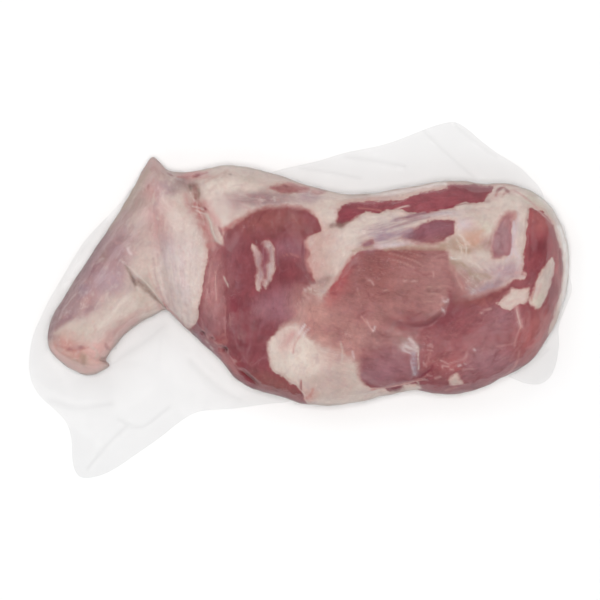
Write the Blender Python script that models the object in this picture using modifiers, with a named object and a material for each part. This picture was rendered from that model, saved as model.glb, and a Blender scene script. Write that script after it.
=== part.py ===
"""Raw lamb shoulder with its shank, sealed in a clear vacuum bag.

The bag is shut and clings to the meat, so the pack is one solid: a loft for the meat, which
lies flat with its inner side up, and a thin slab for the bag's free flaps, joined to it.
Lengths are metres. +X runs from the shank's cut end to the neck end, +Y towards the elbow,
and +Z up. The origin is under the middle of the pack, on the surface it lies on.
"""

import math

import bmesh
import bpy
import numpy as np

# Driving dimensions
PACK_LENGTH = 0.408
BODY_THICKNESS = 0.057
SHANK_THICKNESS = 0.040
SEAM_SHARE = 0.42  # height of the widest line round the meat, as a share of the thickness there
FLAP_THICKNESS = 0.0012
FLAP_LOWEST = 0.0010  # the flaps' lowest clear height over the table

# The plan is read off a picture from straight above, in its pixels, with v running down.
PACK_LEFT_PX = 28.0
PACK_RIGHT_PX = 572.0
CENTRE_PX = (300.0, 300.0)
PX = PACK_LENGTH / (PACK_RIGHT_PX - PACK_LEFT_PX)

# Stations across the meat, from the shank's cut end round the elbow to the neck end. Each has
# a point on the outer edge and a point on the inner edge; the first and last are single points.
SHANK_END_PX = (75.0, 371.0)
NECK_END_PX = (569.2, 275.0)
STATIONS_PX = (
    ((66, 365.5), (84, 374.5)),
    ((55, 355.5), (97, 373)),
    ((49, 346), (108.5, 366)),
    ((48, 335), (106, 359.5)),
    ((52, 318.5), (113, 347)),
    ((66, 293), (128, 332.5)),
    ((90, 255), (146, 320)),
    ((115, 217), (159, 312.5)),
    ((135, 184), (165, 310.5)),
    ((148, 161.5), (168.5, 312)),
    ((153, 157), (173, 315.5)),
    ((160, 161.5), (180, 322.5)),
    ((171, 170.5), (190, 331.5)),
    ((190, 172), (205, 345)),
    ((212, 168), (221, 361)),
    ((228, 165.5), (234, 376.5)),
    ((250, 169), (250, 387)),
    ((278, 175.5), (278, 395)),
    ((310, 185.5), (308, 404)),
    ((348, 194.5), (345, 403.5)),
    ((385, 192.5), (385, 395.5)),
    ((425, 184.5), (412, 390.5)),
    ((455, 181), (450, 393.5)),
    ((476, 184), (475, 389)),
    ((505, 184.5), (505, 377)),
    ((530, 191.5), (531, 362.5)),
    ((547, 203), (543, 347.5)),
    ((560, 222), (556, 325)),
    ((567, 243), (564, 303)),
    ((569, 260), (567.5, 289)),
)
ELBOW_STATION = 11  # counted with the shank's end point as station 0
SHANK_END_ROUND = 0.012
NECK_END_ROUND = 0.036

# Fullness of a section: 2 is an ellipse, more is boxier. The elbow's tip is a rounded cone.
TOP_FULLNESS = 2.45
BASE_FULLNESS = 3.2
ELBOW_TIP_FULLNESS = 1.45
ELBOW_TIP_SPREAD = 2.6  # in stations, to each side of the elbow
BASE_REACH = 1.06  # how far the underside would sink below the table before it is pressed flat

# Muscle bellies, bony ridges and hollows of the upper side:
# (middle of it in plan, half length, half width, turn in degrees, rise in metres)
RELIEF = {
    "forearm_belly": ((108, 268), 60, 26, 57, 0.0035),
    "forearm_crease": ((140, 288), 34, 7, -48, -0.0035),
    "elbow_knob": ((158, 180), 22, 16, 60, 0.0040),
    "elbow_hollow": ((192, 200), 30, 12, -60, -0.0045),
    "brisket_muscle": ((262, 290), 44, 78, 0, 0.0045),
    "fat_saddle": ((327, 262), 18, 34, 20, -0.0025),
    "main_muscle": ((392, 312), 66, 52, 5, 0.0050),
    "blade_ridge": ((440, 226), 80, 12, 6, 0.0030),
    "blade_groove": ((400, 247), 52, 7, 0, -0.0030),
    "neck_bone_knob": ((472, 252), 24, 18, 20, 0.0035),
    "neck_muscle": ((540, 250), 20, 36, -15, 0.0025),
    "rear_groove": ((440, 322), 46, 9, 28, -0.0030),
    "lower_fat_pad": ((312, 368), 34, 24, 0, -0.0015),
}

# The bag's plan outline. Where the flaps are folded under, it runs inside the meat.
BAG_OUTLINE_PX = (
    (240, 190), (268, 173), (318, 160.5), (345, 152), (383, 144), (406, 136), (425, 128.5),
    (441, 123), (456, 121), (469, 128.5), (482, 140), (498, 152.5), (518, 165), (530, 176.5),
    (543, 193), (549, 225), (560, 262), (569, 275), (572, 291), (565, 310), (559, 327),
    (559.5, 345), (557, 364), (551, 377.5), (540, 384.5), (524, 383), (510, 377.5), (480, 370),
    (330, 385), (291, 401), (268, 404), (233, 409), (199, 412), (180, 422), (159, 438.5),
    (134, 456), (115, 469), (98, 477), (81, 479), (73, 470.5), (70.5, 456), (70, 440.5),
    (65, 423.5), (53.5, 410.5), (38.5, 396.5), (30, 381), (28, 362), (32, 337), (40, 318),
    (48, 301), (59, 282), (78.5, 249), (90, 234), (105, 218.5), (122.5, 200), (134, 186),
    (146, 180), (175, 200),
)
FLAP_ROOT = 0.0185  # height at which the flaps leave the meat
FLAP_DROOP = 0.024  # distance over which a flap comes down from there
FLAP_WAVE = 0.0016
FLAP_WAVE_LENGTH = 0.085

# Mesh density
SECTIONS = 84
POINTS_ROUND = 32
FLAP_GRID = 0.0074
OUTLINE_STEPS = 4

PACK_COLOUR = (0.46, 0.20, 0.19, 1.0)
PACK_ROUGHNESS = 0.28


def place(px):
    """Photo pixels to metres in plan."""
    px = np.asarray(px, float)
    return np.stack([px[..., 0] - CENTRE_PX[0], CENTRE_PX[1] - px[..., 1]], -1) * PX


def spline(points, at, closed=False):
    """A smooth curve through the points; at counts them, so 2.5 is midway from point 2 to 3."""
    points = np.asarray(points, float)
    count = len(points)
    base = np.floor(at).astype(int)
    if not closed:
        base = np.clip(base, 0, count - 2)
    share = (at - base)[:, None]

    def near(offset):
        index = base + offset
        return points[index % count] if closed else points[np.clip(index, 0, count - 1)]

    before, start, end, after = near(-1), near(0), near(1), near(2)
    return 0.5 * (
        2 * start
        + (end - before) * share
        + (2 * before - 5 * start + 4 * end - after) * share**2
        + (3 * start - before - 3 * end + after) * share**3
    )


def rails():
    """The outer and inner edge at every station, in metres, with both ends shared."""
    outer = [SHANK_END_PX, *(pair[0] for pair in STATIONS_PX), NECK_END_PX]
    inner = [SHANK_END_PX, *(pair[1] for pair in STATIONS_PX), NECK_END_PX]
    return place(outer), place(inner)


def even_stations(outer, inner, count):
    """Station numbers that lie evenly along the meat, as the two edges run on average."""
    fine = np.linspace(0, len(outer) - 1, 60 * len(outer))
    edges = [spline(edge, fine) for edge in (outer, inner)]
    step = sum(np.linalg.norm(np.diff(edge, axis=0), axis=1) for edge in edges)
    run = np.concatenate([[0], np.cumsum(step)])
    return np.interp(np.linspace(0, run[-1], count), run, fine)


def rounded(distance, radius):
    """Height share of a rounded end at a distance from its tip."""
    left = 1 - np.clip(distance / radius, 0, 1)
    return np.sqrt(1 - left**2)


def thickness_at(station, middle, shank_end, neck_end):
    """Thickness of the meat at a station: even along the shank, full in the body."""
    grown = np.clip((station - ELBOW_STATION + 3) / 9, 0, 1)
    grown = grown**2 * (3 - 2 * grown)
    even = SHANK_THICKNESS + (BODY_THICKNESS - SHANK_THICKNESS) * grown
    ends = rounded(np.linalg.norm(middle - shank_end, axis=1), SHANK_END_ROUND)
    ends = ends * rounded(np.linalg.norm(middle - neck_end, axis=1), NECK_END_ROUND)
    return even * ends


def relief_at(plan):
    """Rise of the upper side over the plain loft, in metres, for points in plan."""
    rise = np.zeros(plan.shape[:-1])
    for middle, half_length, half_width, turn, height in RELIEF.values():
        along = math.radians(turn)
        off = plan - place(middle)
        x = (off[..., 0] * math.cos(along) + off[..., 1] * math.sin(along)) / (half_length * PX)
        y = (off[..., 1] * math.cos(along) - off[..., 0] * math.sin(along)) / (half_width * PX)
        rise = rise + height * np.exp(-(x**2 + y**2))
    return rise


def fullness_at(station, cosine, sine):
    """Fullness of each section at each angle, less at the elbow's outer side."""
    full = np.where(sine >= 0, TOP_FULLNESS, BASE_FULLNESS)[None]
    near = np.exp(-(((station - ELBOW_STATION) / ELBOW_TIP_SPREAD) ** 2))[:, None]
    outer = np.clip(cosine, 0, 1)[None] ** 0.5
    return full + (ELBOW_TIP_FULLNESS - full) * near * outer


def meat_sections():
    """Rings of points, one for each section, from the shank's end to the neck end."""
    outer, inner = rails()
    stations = even_stations(outer, inner, SECTIONS + 2)[1:-1]
    left, right = spline(outer, stations), spline(inner, stations)
    middle = (left + right) / 2
    thick = thickness_at(stations, middle, outer[0], outer[-1])[:, None]
    seam = thick * SEAM_SHARE
    angle = np.linspace(0, 2 * math.pi, POINTS_ROUND, endpoint=False)
    cosine, sine = np.cos(angle), np.sin(angle)
    full = fullness_at(stations, cosine, sine)
    across = np.sign(cosine) * np.abs(cosine) ** (2 / full)
    lift = np.abs(sine) ** (2 / full)
    plan = middle[:, None] + (left - middle)[:, None] * across[..., None]
    top = seam + (thick - seam) * lift + relief_at(plan) * lift
    base = np.maximum(seam * (1 - BASE_REACH * lift), 0)
    height = np.where(sine >= 0, top, base)
    return np.concatenate([plan, height[..., None]], -1), outer[0], outer[-1], seam


def make_meat():
    """The meat, as a loft between unlike sections that is closed to a point at both ends."""
    sections, shank_end, neck_end, seam = meat_sections()
    bm = bmesh.new()
    rings = [[bm.verts.new(point) for point in ring] for ring in sections]
    for near, far in zip(rings, rings[1:]):
        for i in range(POINTS_ROUND):
            j = (i + 1) % POINTS_ROUND
            bm.faces.new((near[i], near[j], far[j], far[i]))
    for ring, end, height in ((rings[0], shank_end, seam[0, 0]), (rings[-1], neck_end, seam[-1, 0])):
        tip = bm.verts.new((*end, height))
        for i in range(POINTS_ROUND):
            bm.faces.new((ring[i], ring[(i + 1) % POINTS_ROUND], tip))
    bmesh.ops.recalc_face_normals(bm, faces=bm.faces)
    mesh = bpy.data.meshes.new("pack")
    bm.to_mesh(mesh)
    bm.free()
    return bpy.data.objects.new("sealed_pack", mesh)


def distance_outside(plan, edge):
    """Distance from each point to a closed line of points, in plan."""
    nearest = np.full(len(plan), np.inf)
    for start, end in zip(edge, np.roll(edge, -1, axis=0)):
        run = end - start
        share = np.clip((plan - start) @ run / max(run @ run, 1e-12), 0, 1)
        nearest = np.minimum(nearest, np.linalg.norm(plan - start - share[:, None] * run, axis=1))
    return nearest


def meat_outline():
    """The meat's outline in plan, as a closed line."""
    outer, inner = rails()
    at = np.linspace(0, len(outer) - 1, 4 * len(outer))
    return np.concatenate([spline(outer, at), spline(inner, at)[-2:0:-1]])


def flap_height(plan, outline):
    """Height of a flap's middle: it leaves the meat at the seam and comes down to the table."""
    away = distance_outside(plan, outline)
    wave = np.sin(plan[:, 0] * 2 * math.pi / FLAP_WAVE_LENGTH) * np.cos(
        plan[:, 1] * 2 * math.pi / FLAP_WAVE_LENGTH
    )
    settled = FLAP_LOWEST + FLAP_THICKNESS / 2 + FLAP_WAVE * (1 + wave)
    drop = np.exp(-((away / FLAP_DROOP) ** 1.5))
    return settled + (FLAP_ROOT - settled) * drop


def make_flap_slab(collection):
    """A bent thin slab, trimmed to the bag's outline."""
    bpy.ops.mesh.primitive_grid_add(
        x_subdivisions=round(PACK_LENGTH * 1.06 / FLAP_GRID),
        y_subdivisions=round(PACK_LENGTH * 0.72 / FLAP_GRID),
        size=1,
    )
    slab = bpy.context.active_object
    slab.name = "flaps"
    grid = np.array([v.co[:2] for v in slab.data.vertices]) * (PACK_LENGTH * 1.06, PACK_LENGTH * 0.72)
    height = flap_height(grid, meat_outline())
    slab.data.vertices.foreach_set("co", np.column_stack([grid, height]).astype(np.float32).ravel())
    thicken = slab.modifiers.new("thickness", "SOLIDIFY")
    thicken.thickness = FLAP_THICKNESS
    thicken.offset = 0
    trim = slab.modifiers.new("trim", "BOOLEAN")
    trim.operation = "INTERSECT"
    trim.object = make_outline_prism(collection)
    return slab


def make_outline_prism(collection):
    """The bag's outline as an upright prism, taller than the slab."""
    at = np.arange(0, len(BAG_OUTLINE_PX), 1 / OUTLINE_STEPS)
    outline = spline(place(BAG_OUTLINE_PX), at, closed=True)
    curve = bpy.data.curves.new("bag_outline", "CURVE")
    curve.dimensions = "2D"
    curve.fill_mode = "BOTH"
    curve.extrude = BODY_THICKNESS
    line = curve.splines.new("POLY")
    line.points.add(len(outline) - 1)
    for point, (x, y) in zip(line.points, outline):
        point.co = (x, y, 0, 1)
    line.use_cyclic_u = True
    drawn = bpy.data.objects.new("bag_outline_curve", curve)
    collection.objects.link(drawn)
    bpy.context.view_layer.update()
    mesh = bpy.data.meshes.new_from_object(drawn.evaluated_get(bpy.context.evaluated_depsgraph_get()))
    bm = bmesh.new()
    bm.from_mesh(mesh)
    bmesh.ops.remove_doubles(bm, verts=bm.verts, dist=1e-6)
    bmesh.ops.recalc_face_normals(bm, faces=bm.faces)
    bm.to_mesh(mesh)
    bm.free()
    bpy.data.objects.remove(drawn)
    prism = bpy.data.objects.new("bag_outline_prism", mesh)
    as_helper(prism, collection)
    return prism


def as_helper(obj, collection):
    """Keeps a cutter or an operand out of the part."""
    for other in obj.users_collection:
        other.objects.unlink(obj)
    collection.objects.link(obj)
    obj.hide_render = True
    obj.display_type = "WIRE"


def pack_material():
    material = bpy.data.materials.new("meat_under_film")
    material.use_nodes = True
    shader = material.node_tree.nodes["Principled BSDF"]
    shader.inputs["Base Color"].default_value = PACK_COLOUR
    shader.inputs["Roughness"].default_value = PACK_ROUGHNESS
    shader.inputs["Metallic"].default_value = 0.0
    return material


def main():
    for obj in list(bpy.data.objects):
        bpy.data.objects.remove(obj)
    part = bpy.data.collections.new("lamb_shoulder_pack")
    helpers = bpy.data.collections.new("helpers")
    for collection in (part, helpers):
        bpy.context.scene.collection.children.link(collection)
    pack = make_meat()
    part.objects.link(pack)
    flaps = make_flap_slab(helpers)
    as_helper(flaps, helpers)
    join = pack.modifiers.new("flaps", "BOOLEAN")
    join.operation = "UNION"
    join.object = flaps
    pack.data.materials.append(pack_material())
    pack.data.shade_smooth()


main()
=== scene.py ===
"""Raw lamb shoulder with its shank, inner side up, sealed in a clear vacuum bag.

The meat is one closed loft with its muscle bellies, seams and fat pads in the mesh. Its tissues
are drawn as outlines in plan, kept at the points as signed distances, and given their ragged
borders, fibres and marbling in the material. The bag is a thin skin drawn over the meat and
bridging its hollows, with loose flaps that run down to the table.
Lengths are metres. +X runs from the shank's cut end to the neck end, +Y towards the elbow.
"""

import math

import bpy
import numpy as np
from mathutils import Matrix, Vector
from mathutils.bvhtree import BVHTree


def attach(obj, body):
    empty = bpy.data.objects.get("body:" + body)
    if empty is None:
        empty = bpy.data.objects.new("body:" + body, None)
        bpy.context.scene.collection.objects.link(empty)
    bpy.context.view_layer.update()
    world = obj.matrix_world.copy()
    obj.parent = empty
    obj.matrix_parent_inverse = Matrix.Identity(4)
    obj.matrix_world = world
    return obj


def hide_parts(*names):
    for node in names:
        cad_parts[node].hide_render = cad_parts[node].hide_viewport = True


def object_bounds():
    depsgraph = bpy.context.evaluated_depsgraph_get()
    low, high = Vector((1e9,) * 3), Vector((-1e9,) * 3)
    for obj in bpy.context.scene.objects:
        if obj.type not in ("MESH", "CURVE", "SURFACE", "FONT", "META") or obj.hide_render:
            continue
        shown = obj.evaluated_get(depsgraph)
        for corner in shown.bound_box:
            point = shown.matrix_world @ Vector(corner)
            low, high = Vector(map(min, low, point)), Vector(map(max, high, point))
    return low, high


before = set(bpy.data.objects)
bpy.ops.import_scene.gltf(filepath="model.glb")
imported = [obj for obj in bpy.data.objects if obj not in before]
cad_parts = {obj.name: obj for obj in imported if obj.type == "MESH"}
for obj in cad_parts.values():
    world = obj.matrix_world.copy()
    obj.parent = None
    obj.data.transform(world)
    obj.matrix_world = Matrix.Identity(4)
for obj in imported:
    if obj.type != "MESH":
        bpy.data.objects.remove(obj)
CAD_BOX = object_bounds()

# Driving dimensions, the same as the solid's
PACK_LENGTH = 0.408
BODY_THICKNESS = 0.057
SHANK_THICKNESS = 0.040
SEAM_SHARE = 0.42
PACK_LEFT_PX = 28.0
PACK_RIGHT_PX = 572.0
CENTRE_PX = (300.0, 300.0)
PX = PACK_LENGTH / (PACK_RIGHT_PX - PACK_LEFT_PX)
PICTURE_PX = 600

# The meat's outer and inner edge in plan, station by station from the shank's end
SHANK_END_PX = (75.0, 371.0)
NECK_END_PX = (569.2, 275.0)
STATIONS_PX = (
    ((66, 365.5), (84, 374.5)), ((55, 355.5), (97, 373)), ((49, 346), (108.5, 366)),
    ((48, 335), (106, 359.5)), ((52, 318.5), (113, 347)), ((66.8, 293.5), (127, 331.7)),
    ((91, 255.5), (145.3, 319.3)), ((115.8, 217.5), (159, 312.3)), ((135, 184), (165, 310.5)),
    ((148, 161.5), (168.5, 312)), ((153, 157), (173, 315.5)), ((160, 161.5), (180, 322.5)),
    ((171, 170.5), (190, 331.5)), ((190, 172), (205, 345)), ((212, 168), (221, 361)),
    ((228, 165.5), (234, 376.5)), ((250, 169), (250, 387)), ((278, 175.5), (278, 395)),
    ((310, 185.5), (308, 404)), ((348, 194.5), (345, 403.5)), ((385, 192.5), (385, 395.5)),
    ((425, 184.5), (412, 390.5)), ((455, 181), (450, 393.5)), ((476, 184), (475, 389)),
    ((505, 184.5), (504.5, 377)), ((530, 191.5), (529, 361)), ((547, 203), (541, 345.5)),
    ((560, 222), (554.5, 324)), ((567, 243), (563, 302.5)), ((569, 260), (567.3, 289)),
)

# How the meat's section changes along it
ELBOW_STATION = 11
SHANK_END_ROUND = 0.012
NECK_END_ROUND = 0.036
TOP_FULLNESS = 2.45
BASE_FULLNESS = 3.2
ELBOW_TIP_FULLNESS = 1.45
ELBOW_TIP_SPREAD = 2.6
BASE_REACH = 1.06

# Muscle bellies and hollows: (middle, half length, half width, turn, height in metres)
RELIEF = {
    "forearm_belly": ((108, 268), 60, 26, 57, 0.0035),
    "forearm_crease": ((140, 288), 34, 7, -48, -0.0035),
    "elbow_knob": ((158, 180), 22, 16, 60, 0.0040),
    "elbow_hollow": ((192, 200), 30, 12, -60, -0.0045),
    "brisket_muscle": ((262, 290), 44, 78, 0, 0.0045),
    "fat_saddle": ((327, 262), 18, 34, 20, -0.0025),
    "main_muscle": ((392, 312), 66, 52, 5, 0.0050),
    "blade_ridge": ((440, 226), 80, 12, 6, 0.0030),
    "blade_groove": ((400, 247), 52, 7, 0, -0.0030),
    "neck_bone_knob": ((472, 252), 24, 18, 20, 0.0035),
    "neck_muscle": ((540, 250), 20, 36, -15, 0.0025),
    "rear_groove": ((440, 322), 46, 9, 28, -0.0030),
    "lower_fat_pad": ((312, 368), 34, 24, 0, -0.0015),
}

# The bag's plan outline. Where the flaps are folded under, it runs inside the meat.
BAG_OUTLINE_PX = (
    (240, 190), (268, 173), (318, 160.5), (345, 152), (383, 144), (406, 136), (425, 128.5),
    (441, 123), (456, 121), (469, 128.5), (482, 140), (498, 152.5), (518, 165), (530, 176.5),
    (543, 193), (549, 225), (560, 262), (569, 275), (572, 291), (565, 310), (559, 327),
    (559.5, 345), (557, 364), (551, 377.5), (540, 384.5), (524, 383), (510, 377.5), (480, 370),
    (330, 385), (291, 401), (268, 404), (233, 409), (199, 412), (180, 422), (159, 438.5),
    (134, 456), (115, 469), (98, 477), (81, 479), (73, 470.5), (70.5, 456), (70, 440.5),
    (65, 423.5), (53.5, 410.5), (38.5, 396.5), (30, 381), (28, 362), (32, 337), (40, 318),
    (48, 301), (59, 282), (78.5, 249), (90, 234), (105, 218.5), (122.5, 200), (134, 186),
    (146, 180), (175, 200),
)

# Heights of the loose flaps, how fast they droop and how they wave
FLAP_ROOT = 0.0185
FLAP_DROOP = 0.024
FLAP_LOWEST = 0.0016
FLAP_WAVE = 0.0016
FLAP_WAVE_LENGTH = 0.085

# Mesh density
MEAT_RINGS = 480
MEAT_UPPER_POINTS = 178
MEAT_LOWER_POINTS = 27
SKIN_RINGS = 330
SKIN_UPPER_POINTS = 128
SKIN_LOWER_POINTS = 30
FLAP_CELL = 0.0016
THREAD_SIDES = 8

# Steps from one drawn point to the next
THREAD_STEPS = 7
OUTLINE_STEPS = 3
CURVE_STEPS = 6
STROKE_STEPS = 5

# Where the surfaces lie, in metres
MEAT_OFF_TABLE = 0.0006
FILM_OFF_TABLE = 0.0002
FILM_GAP = 0.00045  # between the meat and the film over it
FLAP_FLOOR = 0.0007  # no flap comes lower
PATCH_RISE = 0.0006  # fat over lean
BORDER_DIP = 0.0007  # the seam between fat and lean
HOLE_DEPTH = 0.0022
HOLE_COUNT = 4  # the first of the dark marks are holes
THREAD_FLATNESS = 0.336  # height over half width
THREAD_SINK = 0.00006
THREAD_TIP = 0.00005
SKIN_FOLDS = 150
SILVERSKIN_LINES = 9

# Lumps of the surfaces: height, size and seed
MEAT_LUMPS = ((0.00055, 0.010, 11), (0.00028, 0.0045, 12))
FINE_LUMPS = (0.00012, 0.0020, 13)
SIDE_LUMPS = (0.0006, 0.014, 14)
FIBRE_LUMPS = (0.00016, 0.0016, 5)
FLAP_LUMPS = ((0.0005, 0.016, 31), (0.00022, 0.006, 32))

# Lumps that push the outlines and the tints about: size and reach in pixels, and seed
OUTLINE_WARP = ((11, 1.0, 41), (5, 0.7, 43))
TINT_WARP = ((24, 5.0, 45), (9, 2.6, 47))

# Reaches in the plan, in pixels of the picture
FIELD_REACH = 14.0
CRISP_BORDER = 1.0
# How far the painted rim shade reaches in, and where it fades out towards the right end
RIM_REACH_PX = 3.2
RIM_FADE_PX = (525.0, 560.0)
BAG_REACH_PX = 60.0
MEAT_REACH_PX = 400.0
FLAP_TUCK_PX = 5.0
FLAP_CLEAR_PX = 3.0

# Film, light and camera
FILM_GLARE = 0.022  # what the film adds to every colour seen through it
FILM_MOST_GLOSS = 0.07
SKIN_FROM_EDGE = 0.05  # any distance at which the film's edge no longer shows
# Dark red of the holes and creases, with painted shade
HOLE_SHADE_COLOUR = (0.085, 0.004, 0.010, 1.0)
FLOOR_SIZE = 14.0
FLOOR_DROP = 0.0003
WORLD_LIGHT = 0.22
SENSOR = 36.0
CAMERA_HEIGHT = 2.6
CAMERA_TRUE_HEIGHT = 0.020  # the height at which a pixel of the picture is exactly PX

# Square lights that face the origin: place, size, power and whether they show in reflections
LIGHTS = {
    "overhead": ((0.0, 0.0, 3.2), 1.0, 64.0, False),
    "soft_back_left": ((-1.1, 1.1, 1.9), 1.2, 8.0, True),
    "soft_back_right": ((1.1, 1.1, 1.9), 1.2, 4.5, True),
    "soft_front_left": ((-1.1, -1.1, 1.9), 1.2, 4.5, True),
    "soft_front_right": ((1.1, -1.1, 1.9), 1.2, 4.5, True),
}

# Tissue colours as they look through the film, in sRGB from 0 to 255, and some painted highlights
# and painted shade
TISSUE = {
    "dark_lean": (139, 79, 85),
    "deep_lean": (122, 60, 68),
    "brown_lean": (150, 92, 90),
    "rose_lean": (167, 119, 116),
    "bright_lean": (171, 91, 93),
    "salmon_lean": (174, 129, 126),
    "violet_lean": (161, 115, 121),
    "plum_lean": (159, 102, 105),
    "coral_lean": (176, 106, 106),
    "neck_lean": (154, 82, 87),
    "strip_lean": (161, 92, 99),
    "wine_lean": (132, 58, 70),
    "window_violet": (147, 100, 109),
    "blush": (190, 142, 136),
    "left_strip": (180, 128, 128),
    "mauve": (158, 110, 120),
    "cream": (212, 194, 185),
    "cream_light": (222, 207, 197),
    "fat_white": (228, 213, 202),
    "cream_grey": (204, 188, 178),
    "olive_cream": (205, 195, 180),
    "pink_fat": (206, 166, 162),
    "blush_fat": (201, 167, 159),
    "salmon_fat": (201, 156, 147),
    "coral_fat": (196, 132, 126),
    "tan_pink": (192, 160, 156),
    "grey_fat": (180, 160, 152),
    "grey_mauve": (165, 138, 136),
    "silver": (221, 204, 202),
    "lavender": (183, 156, 162),
    "lavender_pale": (209, 191, 196),
    "lavender_blue": (166, 140, 150),
    "mauve_pink": (176, 142, 145),
    "mauve_dark": (156, 120, 127),
    # Painted shade on the shank's purple edge
    "rim_shade_mauve": (140, 104, 110),
    # Brown spots, and painted shade at the end of the upper strip
    "brown_spots_and_shade": (156, 126, 121),
    "brown_shade": (150, 126, 116),
    "bone_grey": (170, 148, 132),
    "bone_tan": (203, 163, 146),
    "bone_cream": (210, 182, 166),
    "olive_tan": (170, 142, 124),
    "fibre_grey": (172, 139, 135),
    "cover_fat": (208, 185, 175),
    # Painted shade at the rim
    "rim_shade_grey": (126, 100, 97),
    "fork_grey": (169, 139, 143),
    "fold_lilac": (172, 150, 158),
    "vein_pink": (196, 142, 138),
    "string_pink": (200, 148, 145),
    "string_red": (176, 104, 104),
    # Painted highlight: glints of the film
    "glint": (230, 213, 213),
    "tan_grey": (195, 172, 164),
    "brown_pink": (168, 126, 120),
    "rose_string": (186, 133, 130),
    "window_pink": (173, 134, 138),
    "mauve_brown": (181, 143, 140),
    # Dark red meat with painted shade in the slit
    "slit_shade_red": (112, 36, 44),
    # Painted glare of the film
    "crescent_glare": (206, 187, 185),
    # Painted highlight of the film along the rims
    "rim_highlight": (255, 246, 243),
    "shell_pink": (224, 182, 176),
}

# Lean seen in plan: outlines in pixels of the picture, drawn over a base of fat
LEAN_OUTLINES = {
    "brisket": (
        (225, 232), (232, 228), (240, 222), (252, 213), (262, 209.5), (275, 208.5), (285, 207.5),
        (300, 208.5), (310, 212), (316, 217), (319, 222), (321, 228), (319, 232), (313.5, 235),
        (309.5, 237), (305.5, 240.5), (304.5, 246), (308.5, 250.5), (309.5, 256), (307, 262),
        (309, 268), (312, 274), (314, 279.5), (317, 283), (311, 286), (305, 289.5), (303, 294),
        (309, 296.5), (303, 314), (305, 323),
        (298, 322), (288, 323), (281, 327), (275, 333), (270, 338), (268, 345), (268, 352),
        (270, 360), (272, 368), (278, 374), (290, 382), (300, 390), (305, 398), (304, 412),
        (270, 405), (240, 395), (215, 368), (222, 352), (212, 342), (203, 336), (215, 337),
        (226, 340), (226, 320), (226, 300), (226, 280), (225, 260), (224, 246),
    ),
    "left_strip": (
        (209, 246), (217, 243), (224, 244), (228, 260), (229, 300), (229, 336), (230, 366),
        (216, 364), (200, 349), (187, 334), (194, 327), (198.5, 318), (199, 310), (201, 300),
        (203.5, 287), (206.5, 270), (210, 257),
    ),
    "upper_strip": (
        (338, 209.5), (345, 204.5), (355, 202.3), (380, 202), (400, 201), (410, 198), (420, 193),
        (430, 191), (440, 190), (447, 189), (448, 185.5), (460, 184.5), (480, 186), (492, 188),
        (491, 191), (488, 195), (484, 199), (481, 203), (470, 204), (460, 204.5), (450, 208),
        (440, 210), (425, 213), (415, 214), (405, 213), (400, 210), (395, 209), (385, 211),
        (378, 213), (370, 212), (365, 212), (360, 215), (355, 219), (350, 222), (345, 224),
        (342, 227), (338, 227), (336, 224), (337, 215),
    ),
    "main": (
        (352, 257), (357, 252.5), (364, 250.5), (378, 250.5), (392, 250), (405, 249.5),
        (420, 250), (434, 249.5), (444, 251), (448, 258), (450, 266), (454, 275), (457, 284),
        (462, 291), (468, 297), (478, 294), (488, 291), (498, 288), (505, 284.5), (509, 281.5),
        (516, 277.5), (519, 270), (521, 262), (521.5, 250), (522.5, 238), (524.5, 226),
        (526, 215), (528, 208), (534, 209.5), (541, 213), (548, 220), (553, 228), (556, 238),
        (560, 248), (562.5, 257), (563, 267), (562, 277), (560, 288), (557, 298), (554, 308),
        (550, 319), (548, 332), (550, 345), (540, 362), (527, 372), (515, 382), (500, 390),
        (485, 396), (470, 400), (450, 402), (425, 400), (418, 391), (416, 384), (404, 384),
        (402, 387), (392, 392), (380, 389), (370, 387), (362, 381), (358.5, 374), (358, 364),
        (352, 356), (342, 350), (330, 345), (318, 342), (309, 336), (303, 329), (300, 318),
        (300, 306), (307, 298.5), (313, 296), (319, 300.5), (325, 297), (332, 286), (339, 277),
        (345, 267),
    ),
    "blade_window": (
        (400, 238), (403, 234), (410, 230), (418, 226), (424, 223), (435, 221), (445, 221),
        (452, 222), (453, 227), (452, 233), (449, 237), (444, 240), (438, 243), (430, 244.5),
        (420, 244), (410, 242), (402, 240),
    ),
    "blade_nick": (
        (361, 247), (364, 243), (368, 241), (372, 241.5), (373, 244), (370, 247), (366, 248),
    ),
    "neck_window": (
        (499, 219), (503, 215.5), (508, 213.5), (512, 214), (512.5, 218), (510.5, 223),
        (509.5, 230), (509, 240), (508.7, 250), (507.5, 255.5), (500, 257.5), (492, 259.5),
        (489.5, 256), (488.5, 248), (490, 240), (491.5, 233), (495, 226), (497, 222),
    ),
    "upper_blush": (
        (270, 189), (280, 186), (292, 185), (303, 186.5), (310, 189), (304, 192.5), (292, 194),
        (280, 193),
    ),
    "upper_fleck": ((311, 192), (318, 190), (325, 192), (318, 195)),
}

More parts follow.
